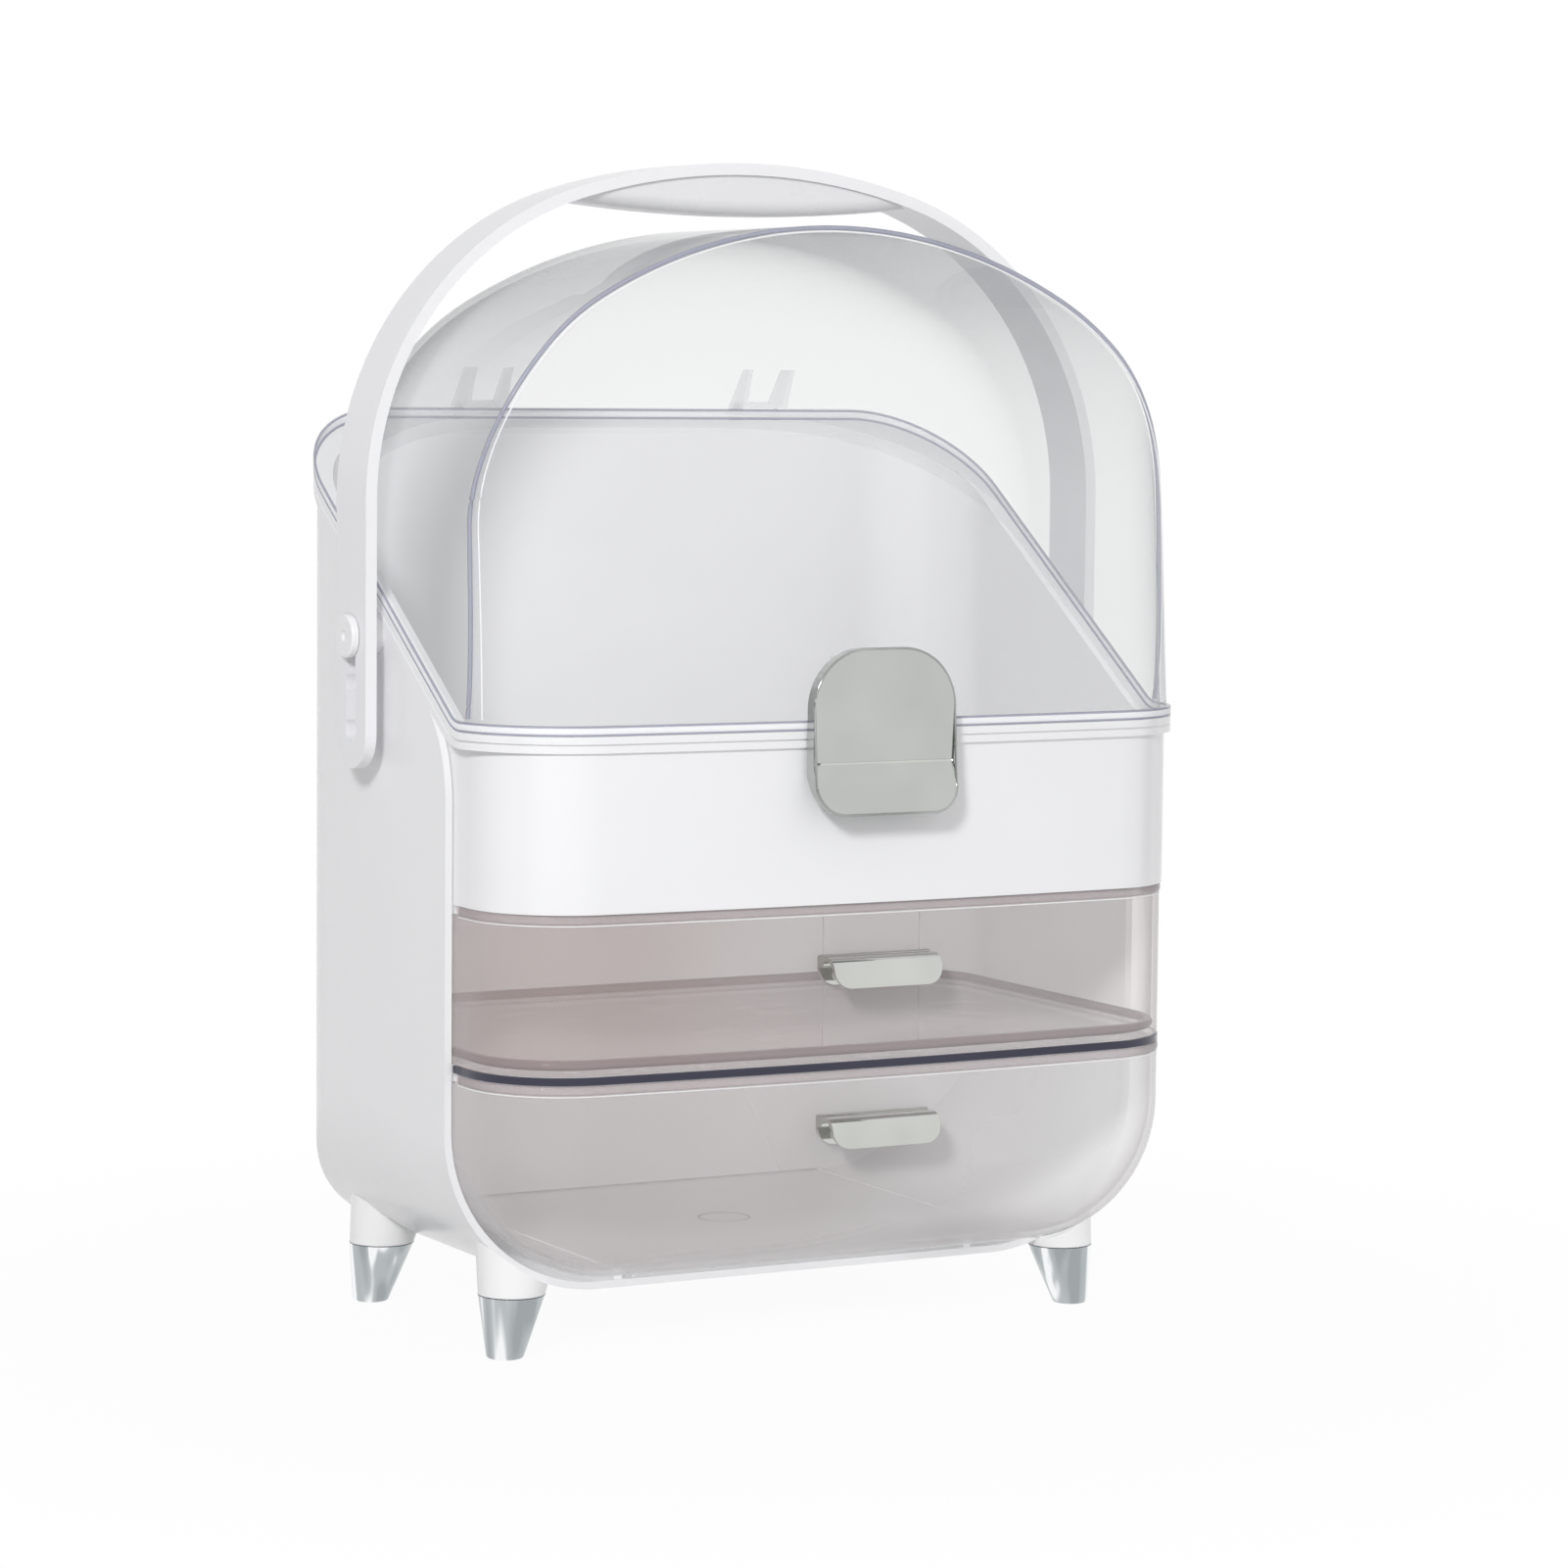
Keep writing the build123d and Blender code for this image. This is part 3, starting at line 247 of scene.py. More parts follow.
def see_through(name, tint, edge_tint, rim_tint, clear, edge, power, roughness, sweep=None):
    """Clear plastic: opacity grows from face-on to grazing, and the colour turns to the rim's tint.
    A sweep is painted light: the face-on tint and opacity that the right side has instead of the
    left side's, paler where light falls into a drawer."""
    material, tree, shader = new_material(name)
    facing = tree.nodes.new("ShaderNodeLayerWeight")
    set_sockets(facing, Blend=0.5)
    curve = tree.nodes.new("ShaderNodeMath")
    curve.operation = "POWER"
    curve.inputs[1].default_value = power
    tree.links.new(facing.outputs["Facing"], curve.inputs[0])
    alpha = tree.nodes.new("ShaderNodeMapRange")
    set_sockets(alpha, To_Min=clear, To_Max=edge)
    tree.links.new(curve.outputs["Value"], alpha.inputs["Value"])
    tree.links.new(alpha.outputs["Result"], shader.inputs["Alpha"])
    edges = ((EDGE_SHARE, edge_tint), (RIM_SHARE, rim_tint))
    colour = ramp(tree, curve.outputs["Value"], ((0.0, tint), *edges))
    tree.links.new(colour.outputs["Color"], shader.inputs["Base Color"])
    if sweep:
        right_tint, right_clear = sweep
        share = left_to_right(tree)
        right = ramp(tree, curve.outputs["Value"], ((0.0, right_tint), *edges))
        tone = tree.nodes.new("ShaderNodeMix")
        tone.data_type = "RGBA"
        tree.links.new(share, tone.inputs[MIX_SHARE])
        tree.links.new(colour.outputs["Color"], tone.inputs[MIX_COLOUR_A])
        tree.links.new(right.outputs["Color"], tone.inputs[MIX_COLOUR_B])
        tree.links.new(tone.outputs[MIX_COLOUR], shader.inputs["Base Color"])
        veil = tree.nodes.new("ShaderNodeMapRange")
        set_sockets(veil, To_Min=clear, To_Max=right_clear)
        tree.links.new(share, veil.inputs["Value"])
        tree.links.new(veil.outputs["Result"], alpha.inputs["To Min"])
    ripple = object_noise(tree, RIPPLE_WAVES)
    bump(tree, shader, ripple.outputs["Fac"], RIPPLE_STRENGTH, RIPPLE_HIGH)
    set_sockets(shader, Roughness=roughness, IOR=CLEAR_IOR, Specular_IOR_Level=CLEAR_SPECULAR)
    return material


def plated(name, low, high, roughness):
    """Mirror plating with faint cloudy colour and hairline unevenness."""
    material, tree, shader = new_material(name)
    tree.links.new(clouds(tree, PLATING_WAVES, low, high), shader.inputs["Base Color"])
    wave = object_noise(tree, HAIRLINE_WAVES)
    bump(tree, shader, wave.outputs["Fac"], HAIRLINE_STRENGTH, HAIRLINE_HIGH)
    set_sockets(shader, Metallic=1.0, Roughness=roughness)
    return material


def plating_with_painted_highlights(name, low, middle, high, roughness):
    """Plating on a turned cone: noise squeezed round the cone and stretched along it gives upright
    bands, mostly grey with narrow bright ones that are painted highlights."""
    material, tree, shader = new_material(name)
    place = tree.nodes.new("ShaderNodeTexCoord")
    stretch = tree.nodes.new("ShaderNodeMapping")
    set_sockets(stretch, Scale=STREAK_AND_HIGHLIGHT_WAVES)
    tree.links.new(place.outputs["Object"], stretch.inputs["Vector"])
    noise = tree.nodes.new("ShaderNodeTexNoise")
    set_sockets(noise, Scale=1.0, Detail=1.0)
    tree.links.new(stretch.outputs["Vector"], noise.inputs["Vector"])
    colour = ramp(tree, noise.outputs["Fac"], tuple(zip(PAINTED_HIGHLIGHT_STOPS, (low, middle, high))))
    tree.links.new(colour.outputs["Color"], shader.inputs["Base Color"])
    bump(tree, shader, noise.outputs["Fac"], STREAK_STRENGTH, STREAK_HIGH)
    set_sockets(shader, Metallic=1.0, Roughness=roughness)
    return material


# Moulded plastics: darker and lighter colour, least and most roughness
white_gloss = moulded_plastic("white_gloss", (0.87, 0.87, 0.885), (0.89, 0.89, 0.905), 0.16, 0.24)
inner_white = moulded_plastic("inner_white", (0.87, 0.86, 0.88), (0.89, 0.88, 0.9), 0.2, 0.3)
grip_white = moulded_plastic("grip_white", (0.77, 0.77, 0.79), (0.79, 0.79, 0.81), 0.25, 0.35)
handle_white = moulded_plastic("handle_white", (0.86, 0.86, 0.88), (0.87, 0.87, 0.89), 0.3, 0.34,
                               peel_strength=0.0)
# Paler copy of the white plastic: painted light against the shade under the case and behind the lid
painted_lit_white = moulded_plastic("painted_lit_white", (0.93, 0.93, 0.93), (0.95, 0.95, 0.95), 0.16, 0.24)
dark_strip = moulded_plastic("dark_strip", (0.02, 0.02, 0.045), (0.03, 0.03, 0.06), 0.1, 0.16)

# Clear and smoky plastics: tint face-on, at the edges and at the rim, then the opacity face-on
# (clear) and at grazing (edge) and the power of the change between them
clear_lid = see_through("clear_lid", (0.5, 0.52, 0.53), (0.44, 0.46, 0.48), (0.2, 0.21, 0.23),
                        clear=0.06, edge=0.9, power=3.4, roughness=0.03)
clear_edge = see_through("clear_edge", (0.36, 0.37, 0.47), (0.28, 0.29, 0.38), (0.2, 0.2, 0.26),
                         clear=0.65, edge=0.9, power=1.5, roughness=0.05)
clear_band = see_through("clear_band", (0.95, 0.95, 0.98), (0.9, 0.9, 0.94), (0.7, 0.7, 0.76),
                         clear=0.7, edge=0.85, power=2.0, roughness=0.05)
hinge_clear = see_through("hinge_clear", (0.92, 0.93, 0.95), (0.84, 0.85, 0.88), (0.5, 0.51, 0.54),
                          clear=0.2, edge=0.8, power=2.5, roughness=0.05)
# The drawers' sweeps to a paler right side are painted light
smoky = see_through("smoky", (0.58, 0.48, 0.45), (0.58, 0.52, 0.51), (0.42, 0.38, 0.38),
                    clear=0.24, edge=0.75, power=2.2, roughness=0.05,
                    sweep=((0.95, 0.9, 0.89), 0.14))
# Lower drawer: a paler, whiter copy of the smoky plastic, its whiteness a painted reflection
smoky_low = see_through("smoky_low", (0.74, 0.66, 0.65), (0.78, 0.75, 0.75), (0.6, 0.58, 0.58),
                        clear=0.18, edge=0.7, power=2.4, roughness=0.05,
                        sweep=((1.0, 0.99, 0.99), 0.28))
smoky_edge = see_through("smoky_edge", (0.5, 0.44, 0.45), (0.36, 0.31, 0.32), (0.25, 0.22, 0.23),
                         clear=0.4, edge=0.85, power=1.5, roughness=0.06)
# Dark tint of the upper drawer's floor corner: painted shade in the crease
corner_shade = see_through("corner_shade", (0.2, 0.155, 0.17), (0.17, 0.13, 0.145),
                           (0.14, 0.11, 0.12), clear=0.68, edge=0.9, power=1.5, roughness=0.06)
pale_line = see_through("pale_line", (0.98, 0.98, 0.99), (0.96, 0.96, 0.97), (0.94, 0.94, 0.95),
                        clear=0.45, edge=0.6, power=1.5, roughness=0.06)
faint_line = see_through("faint_line", (0.42, 0.39, 0.4), (0.4, 0.37, 0.38), (0.36, 0.34, 0.35),
                         clear=0.4, edge=0.6, power=1.5, roughness=0.06)

# Plated and plain metal: darker and lighter colour, roughness
pull_plating = plated("pull_plating", (0.56, 0.57, 0.54), (0.62, 0.63, 0.6), 0.08)
latch_plating = plated("latch_plating", (0.5, 0.515, 0.5), (0.54, 0.555, 0.54), 0.14)
# Darker plating for the latch's rim bead: a painted reflection on its edge
rim_plating = plated("rim_plating", (0.3, 0.31, 0.3), (0.5, 0.51, 0.5), 0.1)
# The feet's plating: grey, middle and painted-highlight colour, then roughness
foot_plating = plating_with_painted_highlights("foot_plating", (0.36, 0.39, 0.4), (0.5, 0.53, 0.54),
                                (0.93, 0.95, 0.96), 0.12)
steel = plated("steel", (0.55, 0.55, 0.56), (0.62, 0.62, 0.63), 0.3)

FINISHES = {"white_plastic": white_gloss, "clear_plastic": clear_lid, "smoky_plastic": smoky,
            "dark_plastic": dark_strip, "chrome": pull_plating, "steel": steel}
OWN_FINISHES = {"latch_plate": latch_plating, "divider_shelf": inner_white,
                "grip_belly": grip_white, "handle_arch": handle_white,
                "drawer_tray_lower": smoky_low}
for subpart in frame["record"]["subparts"]:
    name = subpart["node"]
    node = frame["nodes"][name]
    finish = OWN_FINISHES.get(name, FINISHES[subpart["material_slot"]])
    if name.startswith("foot_cap"):
        finish = foot_plating
    if name.startswith("hinge_ears"):
        finish = hinge_clear
    # Feet's cones and hinge blocks get the paler white, painted light against their shade
    if name.startswith(("foot_cone", "hinge_block")):
        finish = painted_lit_white
    node.data.materials.clear()
    node.data.materials.append(finish)


def add_piece(name, surface, body, material):
    """Smooth mesh from a surface's points and faces in millimetres, riding on a body."""
    verts, faces = surface
    mesh = bpy.data.meshes.new(name)
    mesh.from_pydata((np.asarray(verts) * MM).tolist(), [], faces)
    mesh.polygons.foreach_set("use_smooth", np.ones(len(mesh.polygons), bool))
    mesh.update()
    piece = bpy.data.objects.new(name, mesh)
    bpy.context.scene.collection.objects.link(piece)
    mesh.materials.append(material)
    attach(piece, body)


# A path whose direction points up by more than this share counts as upright: its side comes from
# X instead of Z
UPRIGHT = 0.99


def tube(path, wide, high, closed=False, sides=10):
    """Ellipse carried along a path: point + wide*cos(t)*side + high*sin(t)*lift, where side is
    level and square to the path and lift is square to both."""
    path = np.asarray(path, float)
    if closed:
        along = np.roll(path, -1, 0) - np.roll(path, 1, 0)
    else:
        along = np.gradient(path, axis=0)
    along /= np.linalg.norm(along, axis=1)[:, None]
    helper = np.where(np.abs(along[:, 2:3]) > UPRIGHT, [[1.0, 0.0, 0.0]], [[0.0, 0.0, 1.0]])
    side = np.cross(along, helper)
    side /= np.linalg.norm(side, axis=1)[:, None]
    lift = np.cross(side, along)
    turn = np.linspace(0, 2 * np.pi, sides, endpoint=False)
    ring = (side[:, None, :] * np.cos(turn)[None, :, None] * wide
            + lift[:, None, :] * np.sin(turn)[None, :, None] * high)
    verts = (path[:, None, :] + ring).reshape(-1, 3)
    count = len(path)
    rows = np.arange(count if closed else count - 1)
    r, c = np.meshgrid(rows, np.arange(sides), indexing="ij")
    row, next_row = r * sides, (r + 1) % count * sides
    next_c = (c + 1) % sides
    faces = np.stack([row + c, next_row + c, next_row + next_c, row + next_c], -1)
    faces = faces.reshape(-1, 4)[:, ::-1].tolist()
    if not closed:
        faces.append(list(range(sides)))
        faces.append([(count - 1) * sides + k for k in range(sides)][::-1])
    return verts, faces


def joined(surfaces):
    """Several surfaces as one: points in a row, face numbers moved up by the points before them."""
    verts, faces, start = [], [], 0
    for points, polygons in surfaces:
        verts.append(points)
        faces += [[start + k for k in polygon] for polygon in polygons]
        start += len(points)
    return np.concatenate(verts), faces


def plan_half(half, front, back, front_corner, back_corner, steps=24):
    """Right half of the plan outline from front middle to back middle: bow arc, corner arc, side,
    corner arc, back line. The corner's centre lies BOW_RADIUS - corner from the bow's centre."""
    corner_x = half - front_corner
    reach = BOW_RADIUS - front_corner
    corner_y = BOW_RADIUS - front - np.sqrt(reach**2 - corner_x**2)
    touch = np.arcsin(corner_x / reach)
    bow = np.linspace(0, touch, steps * 2)
    turn = np.linspace(touch, np.pi / 2, steps)
    side_y = np.linspace(corner_y, back - back_corner, steps * 3)[1:-1]
    quarter = np.linspace(0, np.pi / 2, steps)
    back_x = np.linspace(half - back_corner, 0, steps)[1:]
    x = np.concatenate([BOW_RADIUS * np.sin(bow), corner_x + front_corner * np.sin(turn)[1:],
                        np.full_like(side_y, half),
                        half - back_corner + back_corner * np.cos(quarter), back_x])
    y = np.concatenate([BOW_RADIUS * (1 - np.cos(bow)) - front,
                        corner_y - front_corner * np.cos(turn)[1:], side_y,
                        back - back_corner + back_corner * np.sin(quarter),
                        np.full_like(back_x, back)])
    return x, y


def plan_loop(*sizes):
    """Whole plan outline: the right half, then its mirror image back to the front."""
    x, y = plan_half(*sizes)
    return np.concatenate([x, -x[-2:0:-1]]), np.concatenate([y, y[-2:0:-1]])


def rim_line(y, drop):
    """Height of the rim line at y, lowered square to itself by drop: flat, arc, straight climb."""
    radius = RIM_BREAK_RADIUS + drop
    break_y = RIM_BREAK_Y + drop * tan(RIM_ANGLE / 2)
    start = break_y - radius * tan(RIM_ANGLE / 2)
    end = start + radius * sin(RIM_ANGLE)
    flat = RIM_Z - drop
    arc = flat + radius - np.sqrt(radius**2 - np.clip(y - start, 0, radius * sin(RIM_ANGLE))**2)
    return np.where(y < start, flat, np.where(y < end, arc, flat + (y - break_y) * tan(RIM_ANGLE)))


def rim_loop(proud, drop):
    """Closed path round the rim, standing out by proud from it and lowered by drop."""
    x, y = plan_loop(BODY_HALF + RIM_PROUD_SIDE + proud, BODY_FRONT + RIM_PROUD_ENDS + proud,
                     BODY_BACK + RIM_PROUD_ENDS + proud, FRONT_CORNER + RIM_PROUD_ENDS + proud,
                     BACK_CORNER + RIM_PROUD_ENDS + proud)
    return np.stack([x, y, rim_line(y, drop)], 1)


def pane_y(x, z):
    """Front surface of the lid at (x, z): bowed middle, then the round corner's arc."""
    share = (z - RIM_Z) / (LID_TOP - RIM_Z)
    half = LID_HALF + PANE_SIDE + PANE_SPREAD * share
    front = BODY_FRONT - PANE_LEAN * share
    corner_x = half - FRONT_CORNER
    reach = BOW_RADIUS - FRONT_CORNER
    corner_y = BOW_RADIUS - front - np.sqrt(reach**2 - corner_x**2)
    touch_x = corner_x * BOW_RADIUS / reach
    bow = BOW_RADIUS - front - np.sqrt(BOW_RADIUS**2 - np.minimum(np.abs(x), touch_x) ** 2)
    past = np.clip(np.abs(x) - corner_x, 0, FRONT_CORNER)
    arc = corner_y - np.sqrt(FRONT_CORNER**2 - past**2)
    return np.where(np.abs(x) < touch_x, bow, arc)


def lid_arch(inset, low_z, steps=160):
    """Points (x, z) along the lid's arch, lowered by inset, from left leg to right leg: upright
    legs, a side arc on each that starts upright, and a top arc that touches both."""
    half = LID_HALF - inset
    side_radius = LID_SIDE_RADIUS - inset
    top_radius = LID_TOP_RADIUS - inset
    side_x = half - side_radius
    rise = np.sqrt((top_radius - side_radius) ** 2 - side_x**2)
    top_centre = LID_TOP - inset - top_radius
    spring_z = top_centre + rise
    join = np.arctan2(rise, side_x)
    ends = np.cumsum([spring_z - low_z, side_radius * join, top_radius * (np.pi / 2 - join)])
    s = np.linspace(0, ends[-1], steps)
    side_turn = np.clip((s - ends[0]) / side_radius, 0, join)
    top_turn = np.clip(join + (s - ends[1]) / top_radius, join, np.pi / 2)
    arcs_x = np.where(s < ends[1], side_x + side_radius * np.cos(side_turn),
                      top_radius * np.cos(top_turn))
    arcs_z = np.where(s < ends[1], spring_z + side_radius * np.sin(side_turn),
                      top_centre + top_radius * np.sin(top_turn))
    x = np.where(s < ends[0], half, arcs_x)
    z = np.where(s < ends[0], low_z + s, arcs_z)
    return np.concatenate([-x, x[::-1][1:]]), np.concatenate([z, z[::-1][1:]])


# Tinted line where the lid's front pane meets its arch, sunk into the crisp edge
EDGE_BEAD = 0.8
ARCH_FOOT_Z = RIM_Z + 1.0
outer_x, outer_z = lid_arch(0.0, ARCH_FOOT_Z)
bead_x, bead_z = lid_arch(EDGE_BEAD, ARCH_FOOT_Z)
edge_path = np.stack([bead_x, pane_y(outer_x, outer_z) + EDGE_BEAD, bead_z], 1)
add_piece("lid_edge", tube(edge_path, EDGE_BEAD, EDGE_BEAD), "lid", clear_edge)

# Fine glint beside it, on the pane
GLINT_BEAD = 0.3
GLINT_INSET = 2.1
GLINT_SUNK = 0.1
glint_x, glint_z = lid_arch(GLINT_INSET, ARCH_FOOT_Z)
glint_path = np.stack([glint_x, pane_y(glint_x, glint_z) + GLINT_SUNK, glint_z], 1)
add_piece("lid_edge_glint", tube(glint_path, GLINT_BEAD, GLINT_BEAD),
          "lid", clear_band)

# Two rounded lips of the lid's flange, all the way round, and the paler band between them
FLANGE_BEAD = 0.45
FLANGE_PROUD = 0.1
BAND_SUNK = 0.2
BAND_WIDE = 0.3
flange_lips = [tube(rim_loop(FLANGE_PROUD - FLANGE_BEAD, drop), FLANGE_BEAD, FLANGE_BEAD,
                    closed=True) for drop in (FLANGE_BEAD, LID_FLANGE - FLANGE_BEAD)]
add_piece("lid_flange_lips", joined(flange_lips), "lid", clear_edge)
band_high = LID_FLANGE / 2 - FLANGE_BEAD
band = tube(rim_loop(-BAND_SUNK, LID_FLANGE / 2), BAND_WIDE, band_high, closed=True)
add_piece("lid_flange_band", band, "lid", clear_band)


def drawer_front_path(inset, z, back_y):
    """Open path round a drawer's front and sides as far back as back_y, inset from its outside."""
    x, y = plan_half(DRAWER_HALF - inset, DRAWER_FRONT - inset, DRAWER_BACK - inset,
                     DRAWER_CORNER - inset, DRAWER_CORNER - inset)
    keep = y < back_y
    keep[len(keep) // 2:] = False
    x, y = x[keep], y[keep]
    x = np.concatenate([-x[::-1], x[1:]])
    y = np.concatenate([y[::-1], y[1:]])
    return np.stack([x, y, np.full_like(x, z)], 1)


# Rounded lip along the top of each drawer's front, and a fine glint under it
LIP_HIGH = 1.5
LIP_OUT = 0.5
LIP_INSET = 0.1
LIP_BACK_Y = -46.0
LIP_GLINT = 0.2
LIP_GLINT_DROP = 0.5
for level, tray in (("upper", "drawer_tray_upper"), ("lower", "drawer_tray_lower")):
    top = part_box(tray)[1][2] / MM
    lip = tube(drawer_front_path(LIP_INSET, top - LIP_HIGH, LIP_BACK_Y), LIP_OUT, LIP_HIGH)
    add_piece(f"drawer_lip_{level}", lip, f"drawer_{level}", smoky_edge)
    glint_z = top - 2 * LIP_HIGH - LIP_GLINT_DROP
    glint = tube(drawer_front_path(LIP_INSET, glint_z, LIP_BACK_Y), LIP_GLINT, LIP_GLINT)
    add_piece(f"drawer_glint_{level}", glint, f"drawer_{level}", clear_band)

# Rounded inside corner between the upper drawer's floor and walls, its middle off both by less
# than its radius, tinted dark as painted shade in the crease
CORNER_BEAD = 1.7
CORNER_OFF = CORNER_BEAD * 0.6
inset = DRAWER_WALL + CORNER_OFF
x, y = plan_loop(DRAWER_HALF - inset, DRAWER_FRONT - inset, DRAWER_BACK - inset,
                 DRAWER_CORNER - inset, DRAWER_CORNER - inset)
upper_floor_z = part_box("drawer_tray_upper")[0][2] / MM + DRAWER_FLOOR
path = np.stack([x, y, np.full_like(x, upper_floor_z + CORNER_OFF)], 1)
add_piece("drawer_floor_corner_shade", tube(path, CORNER_BEAD, CORNER_BEAD, closed=True),
          "drawer_upper", corner_shade)

# Lines on the lower drawer's floor where its flat middle meets the round sides and the back
FLAT_HALF = 79.0
LINE_BEAD = 0.6
LINE_FRONT_GAP = 18.0
LINE_STEPS = 12
lower_floor_z = DRAWER_LOW_Z + DRAWER_FLOOR
line_front_y = -DRAWER_FRONT + LINE_FRONT_GAP
line_back_y = DRAWER_BACK - DRAWER_WALL - LINE_BEAD
lines = [tube(np.linspace((side * FLAT_HALF, line_front_y, lower_floor_z),
                          (side * FLAT_HALF, line_back_y, lower_floor_z), LINE_STEPS),
              LINE_BEAD, LINE_BEAD / 2) for side in (-1, 1)]
add_piece("drawer_floor_lines", joined(lines), "drawer_lower", pale_line)
back_line = np.linspace((-FLAT_HALF, line_back_y, lower_floor_z),
                        (FLAT_HALF, line_back_y, lower_floor_z), LINE_STEPS)
add_piece("drawer_floor_back_line", tube(back_line, LINE_BEAD, LINE_BEAD),
          "drawer_lower", faint_line)

# Two faint upright mould lines on the upper drawer's front, beside the pull
MOULD_X = 18.4
MOULD_BEAD = 0.16
MOULD_ABOVE_FLOOR = 3.0
MOULD_UNDER_TOP = 4.0
MOULD_STEPS = 8
mould_low_z = upper_floor_z + MOULD_ABOVE_FLOOR
mould_high_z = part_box("drawer_tray_upper")[1][2] / MM - MOULD_UNDER_TOP
mould_y = BOW_RADIUS - DRAWER_FRONT - np.sqrt(BOW_RADIUS**2 - MOULD_X**2)
moulds = [tube(np.linspace((side * MOULD_X, mould_y, mould_low_z),
                           (side * MOULD_X, mould_y, mould_high_z), MOULD_STEPS),
               MOULD_BEAD, MOULD_BEAD) for side in (-1, 1)]
add_piece("drawer_mould_lines", joined(moulds), "drawer_upper", smoky_edge)


def ring_path(x, y, z, radius, steps=48):
    """Level circle about (x, y) at height z."""
    turn = np.linspace(0, 2 * np.pi, steps, endpoint=False)
    return np.stack([x + radius * np.cos(turn), y + radius * np.sin(turn), np.full(steps, z)], 1)


# Round ejector mark on the lower drawer's floor
MARK_Y = 11.8
MARK_RADIUS = 9.0
MARK_WIDE, MARK_HIGH = 0.5, 0.25
mark = tube(ring_path(0.0, MARK_Y, lower_floor_z, MARK_RADIUS), MARK_WIDE, MARK_HIGH, closed=True)
add_piece("drawer_ejector_mark", mark, "drawer_lower", smoky_edge)

# Dark joint line round the top of each plated foot cap
SEAM = 0.22
for end_name, end in (("front", -1), ("back", 1)):
    for side_name, side in (("left", -1), ("right", 1)):
        seam_x = side * (FOOT_X - FOOT_LEAN[0] * FOOT_CAP_HIGH)
        seam_y = FEET_MIDDLE_Y + end * (FOOT_Y - FOOT_LEAN[1] * FOOT_CAP_HIGH)
        seam_path = ring_path(seam_x, seam_y, FOOT_CAP_HIGH, FOOT_CAP_RADIUS - SEAM / 2)
        seam = tube(seam_path, SEAM, SEAM, closed=True)
        add_piece(f"foot_seam_{end_name}_{side_name}", seam, "case", dark_strip)


# Latch trim: a plated bead round the flap's front edge, darker as a painted reflection, and a
# lighter one along its fold, a painted highlight
LATCH_HALF = 27.0
LATCH_LOW, LATCH_FOLD, LATCH_HIGH = 183.0, 200.0, 238.0
LATCH_LOW_CORNER, LATCH_HIGH_CORNER = 10.0, 20.0
LATCH_FLARE = 4.6
LATCH_BEAD = 0.45
LATCH_BEAD_IN = LATCH_BEAD * 0.7
LATCH_BEAD_SUNK = LATCH_BEAD * 0.5
FOLD_WIDE, FOLD_HIGH = 0.45, 0.6
FOLD_SUNK = 0.15
FOLD_SHORT = 1.0
FOLD_STEPS = 20
latch_face_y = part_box("latch_plate")[0][1] / MM + LATCH_FLARE


def latch_outline(inset, steps=16):
    """Closed rounded rectangle in (x, z): four quarter circles joined by their tangents."""
    corners = ((1, LATCH_LOW, LATCH_LOW_CORNER, -np.pi / 2, 1),
               (1, LATCH_HIGH, LATCH_HIGH_CORNER, 0, -1),
               (-1, LATCH_HIGH, LATCH_HIGH_CORNER, np.pi / 2, -1),
               (-1, LATCH_LOW, LATCH_LOW_CORNER, np.pi, 1))
    xs, zs = [], []
    for side, level, radius, start, up in corners:
        turn = np.linspace(start, start + np.pi / 2, steps)
        xs.append(side * (LATCH_HALF - radius) + (radius - inset) * np.cos(turn))
        zs.append(level + up * radius + (radius - inset) * np.sin(turn))
    return np.concatenate(xs), np.concatenate(zs)


x, z = latch_outline(LATCH_BEAD_IN)
y = latch_face_y - LATCH_FLARE * np.clip((LATCH_FOLD - z) / (LATCH_FOLD - LATCH_LOW), 0, 1)
latch_rim = tube(np.stack([x, y + LATCH_BEAD_SUNK, z], 1), LATCH_BEAD, LATCH_BEAD, closed=True)
add_piece("latch_rim", latch_rim, "latch", rim_plating)
# Lighter bead along the fold, a painted highlight on the crease
fold_end = (LATCH_HALF - FOLD_SHORT, latch_face_y + FOLD_SUNK, LATCH_FOLD)
fold = np.linspace((-fold_end[0], *fold_end[1:]), fold_end, FOLD_STEPS)
add_piece("latch_fold_highlight", tube(fold, FOLD_WIDE, FOLD_HIGH), "latch", pull_plating)


def seen_rays(tree):
    """1 for camera, glossy and transmission rays, which see the white background, otherwise 0."""
    path = tree.nodes.new("ShaderNodeLightPath")
    first = tree.nodes.new("ShaderNodeMath")
    first.use_clamp = True
    tree.links.new(path.outputs["Is Camera Ray"], first.inputs[0])
    tree.links.new(path.outputs["Is Glossy Ray"], first.inputs[1])
    second = tree.nodes.new("ShaderNodeMath")
    second.use_clamp = True
    tree.links.new(first.outputs["Value"], second.inputs[0])
    tree.links.new(path.outputs["Is Transmission Ray"], second.inputs[1])
    return second.outputs["Value"]


# Room light by direction: level = base + slope . direction, so it comes mostly from the right front
ROOM_BASE = 0.59
ROOM_SLOPE = (0.3, -0.2, -0.08)

# Lamps: name, place and size in metres, power in watts, whether mirrors show it
LAMPS = (("key_lamp", (-1.6, -1.7, 1.35), 0.4, 33.0, True),
         ("back_lamp", (1.1, 1.9, 1.0), 1.0, 16.0, False))
LAMP_AIM = (0, 0, 0.2)


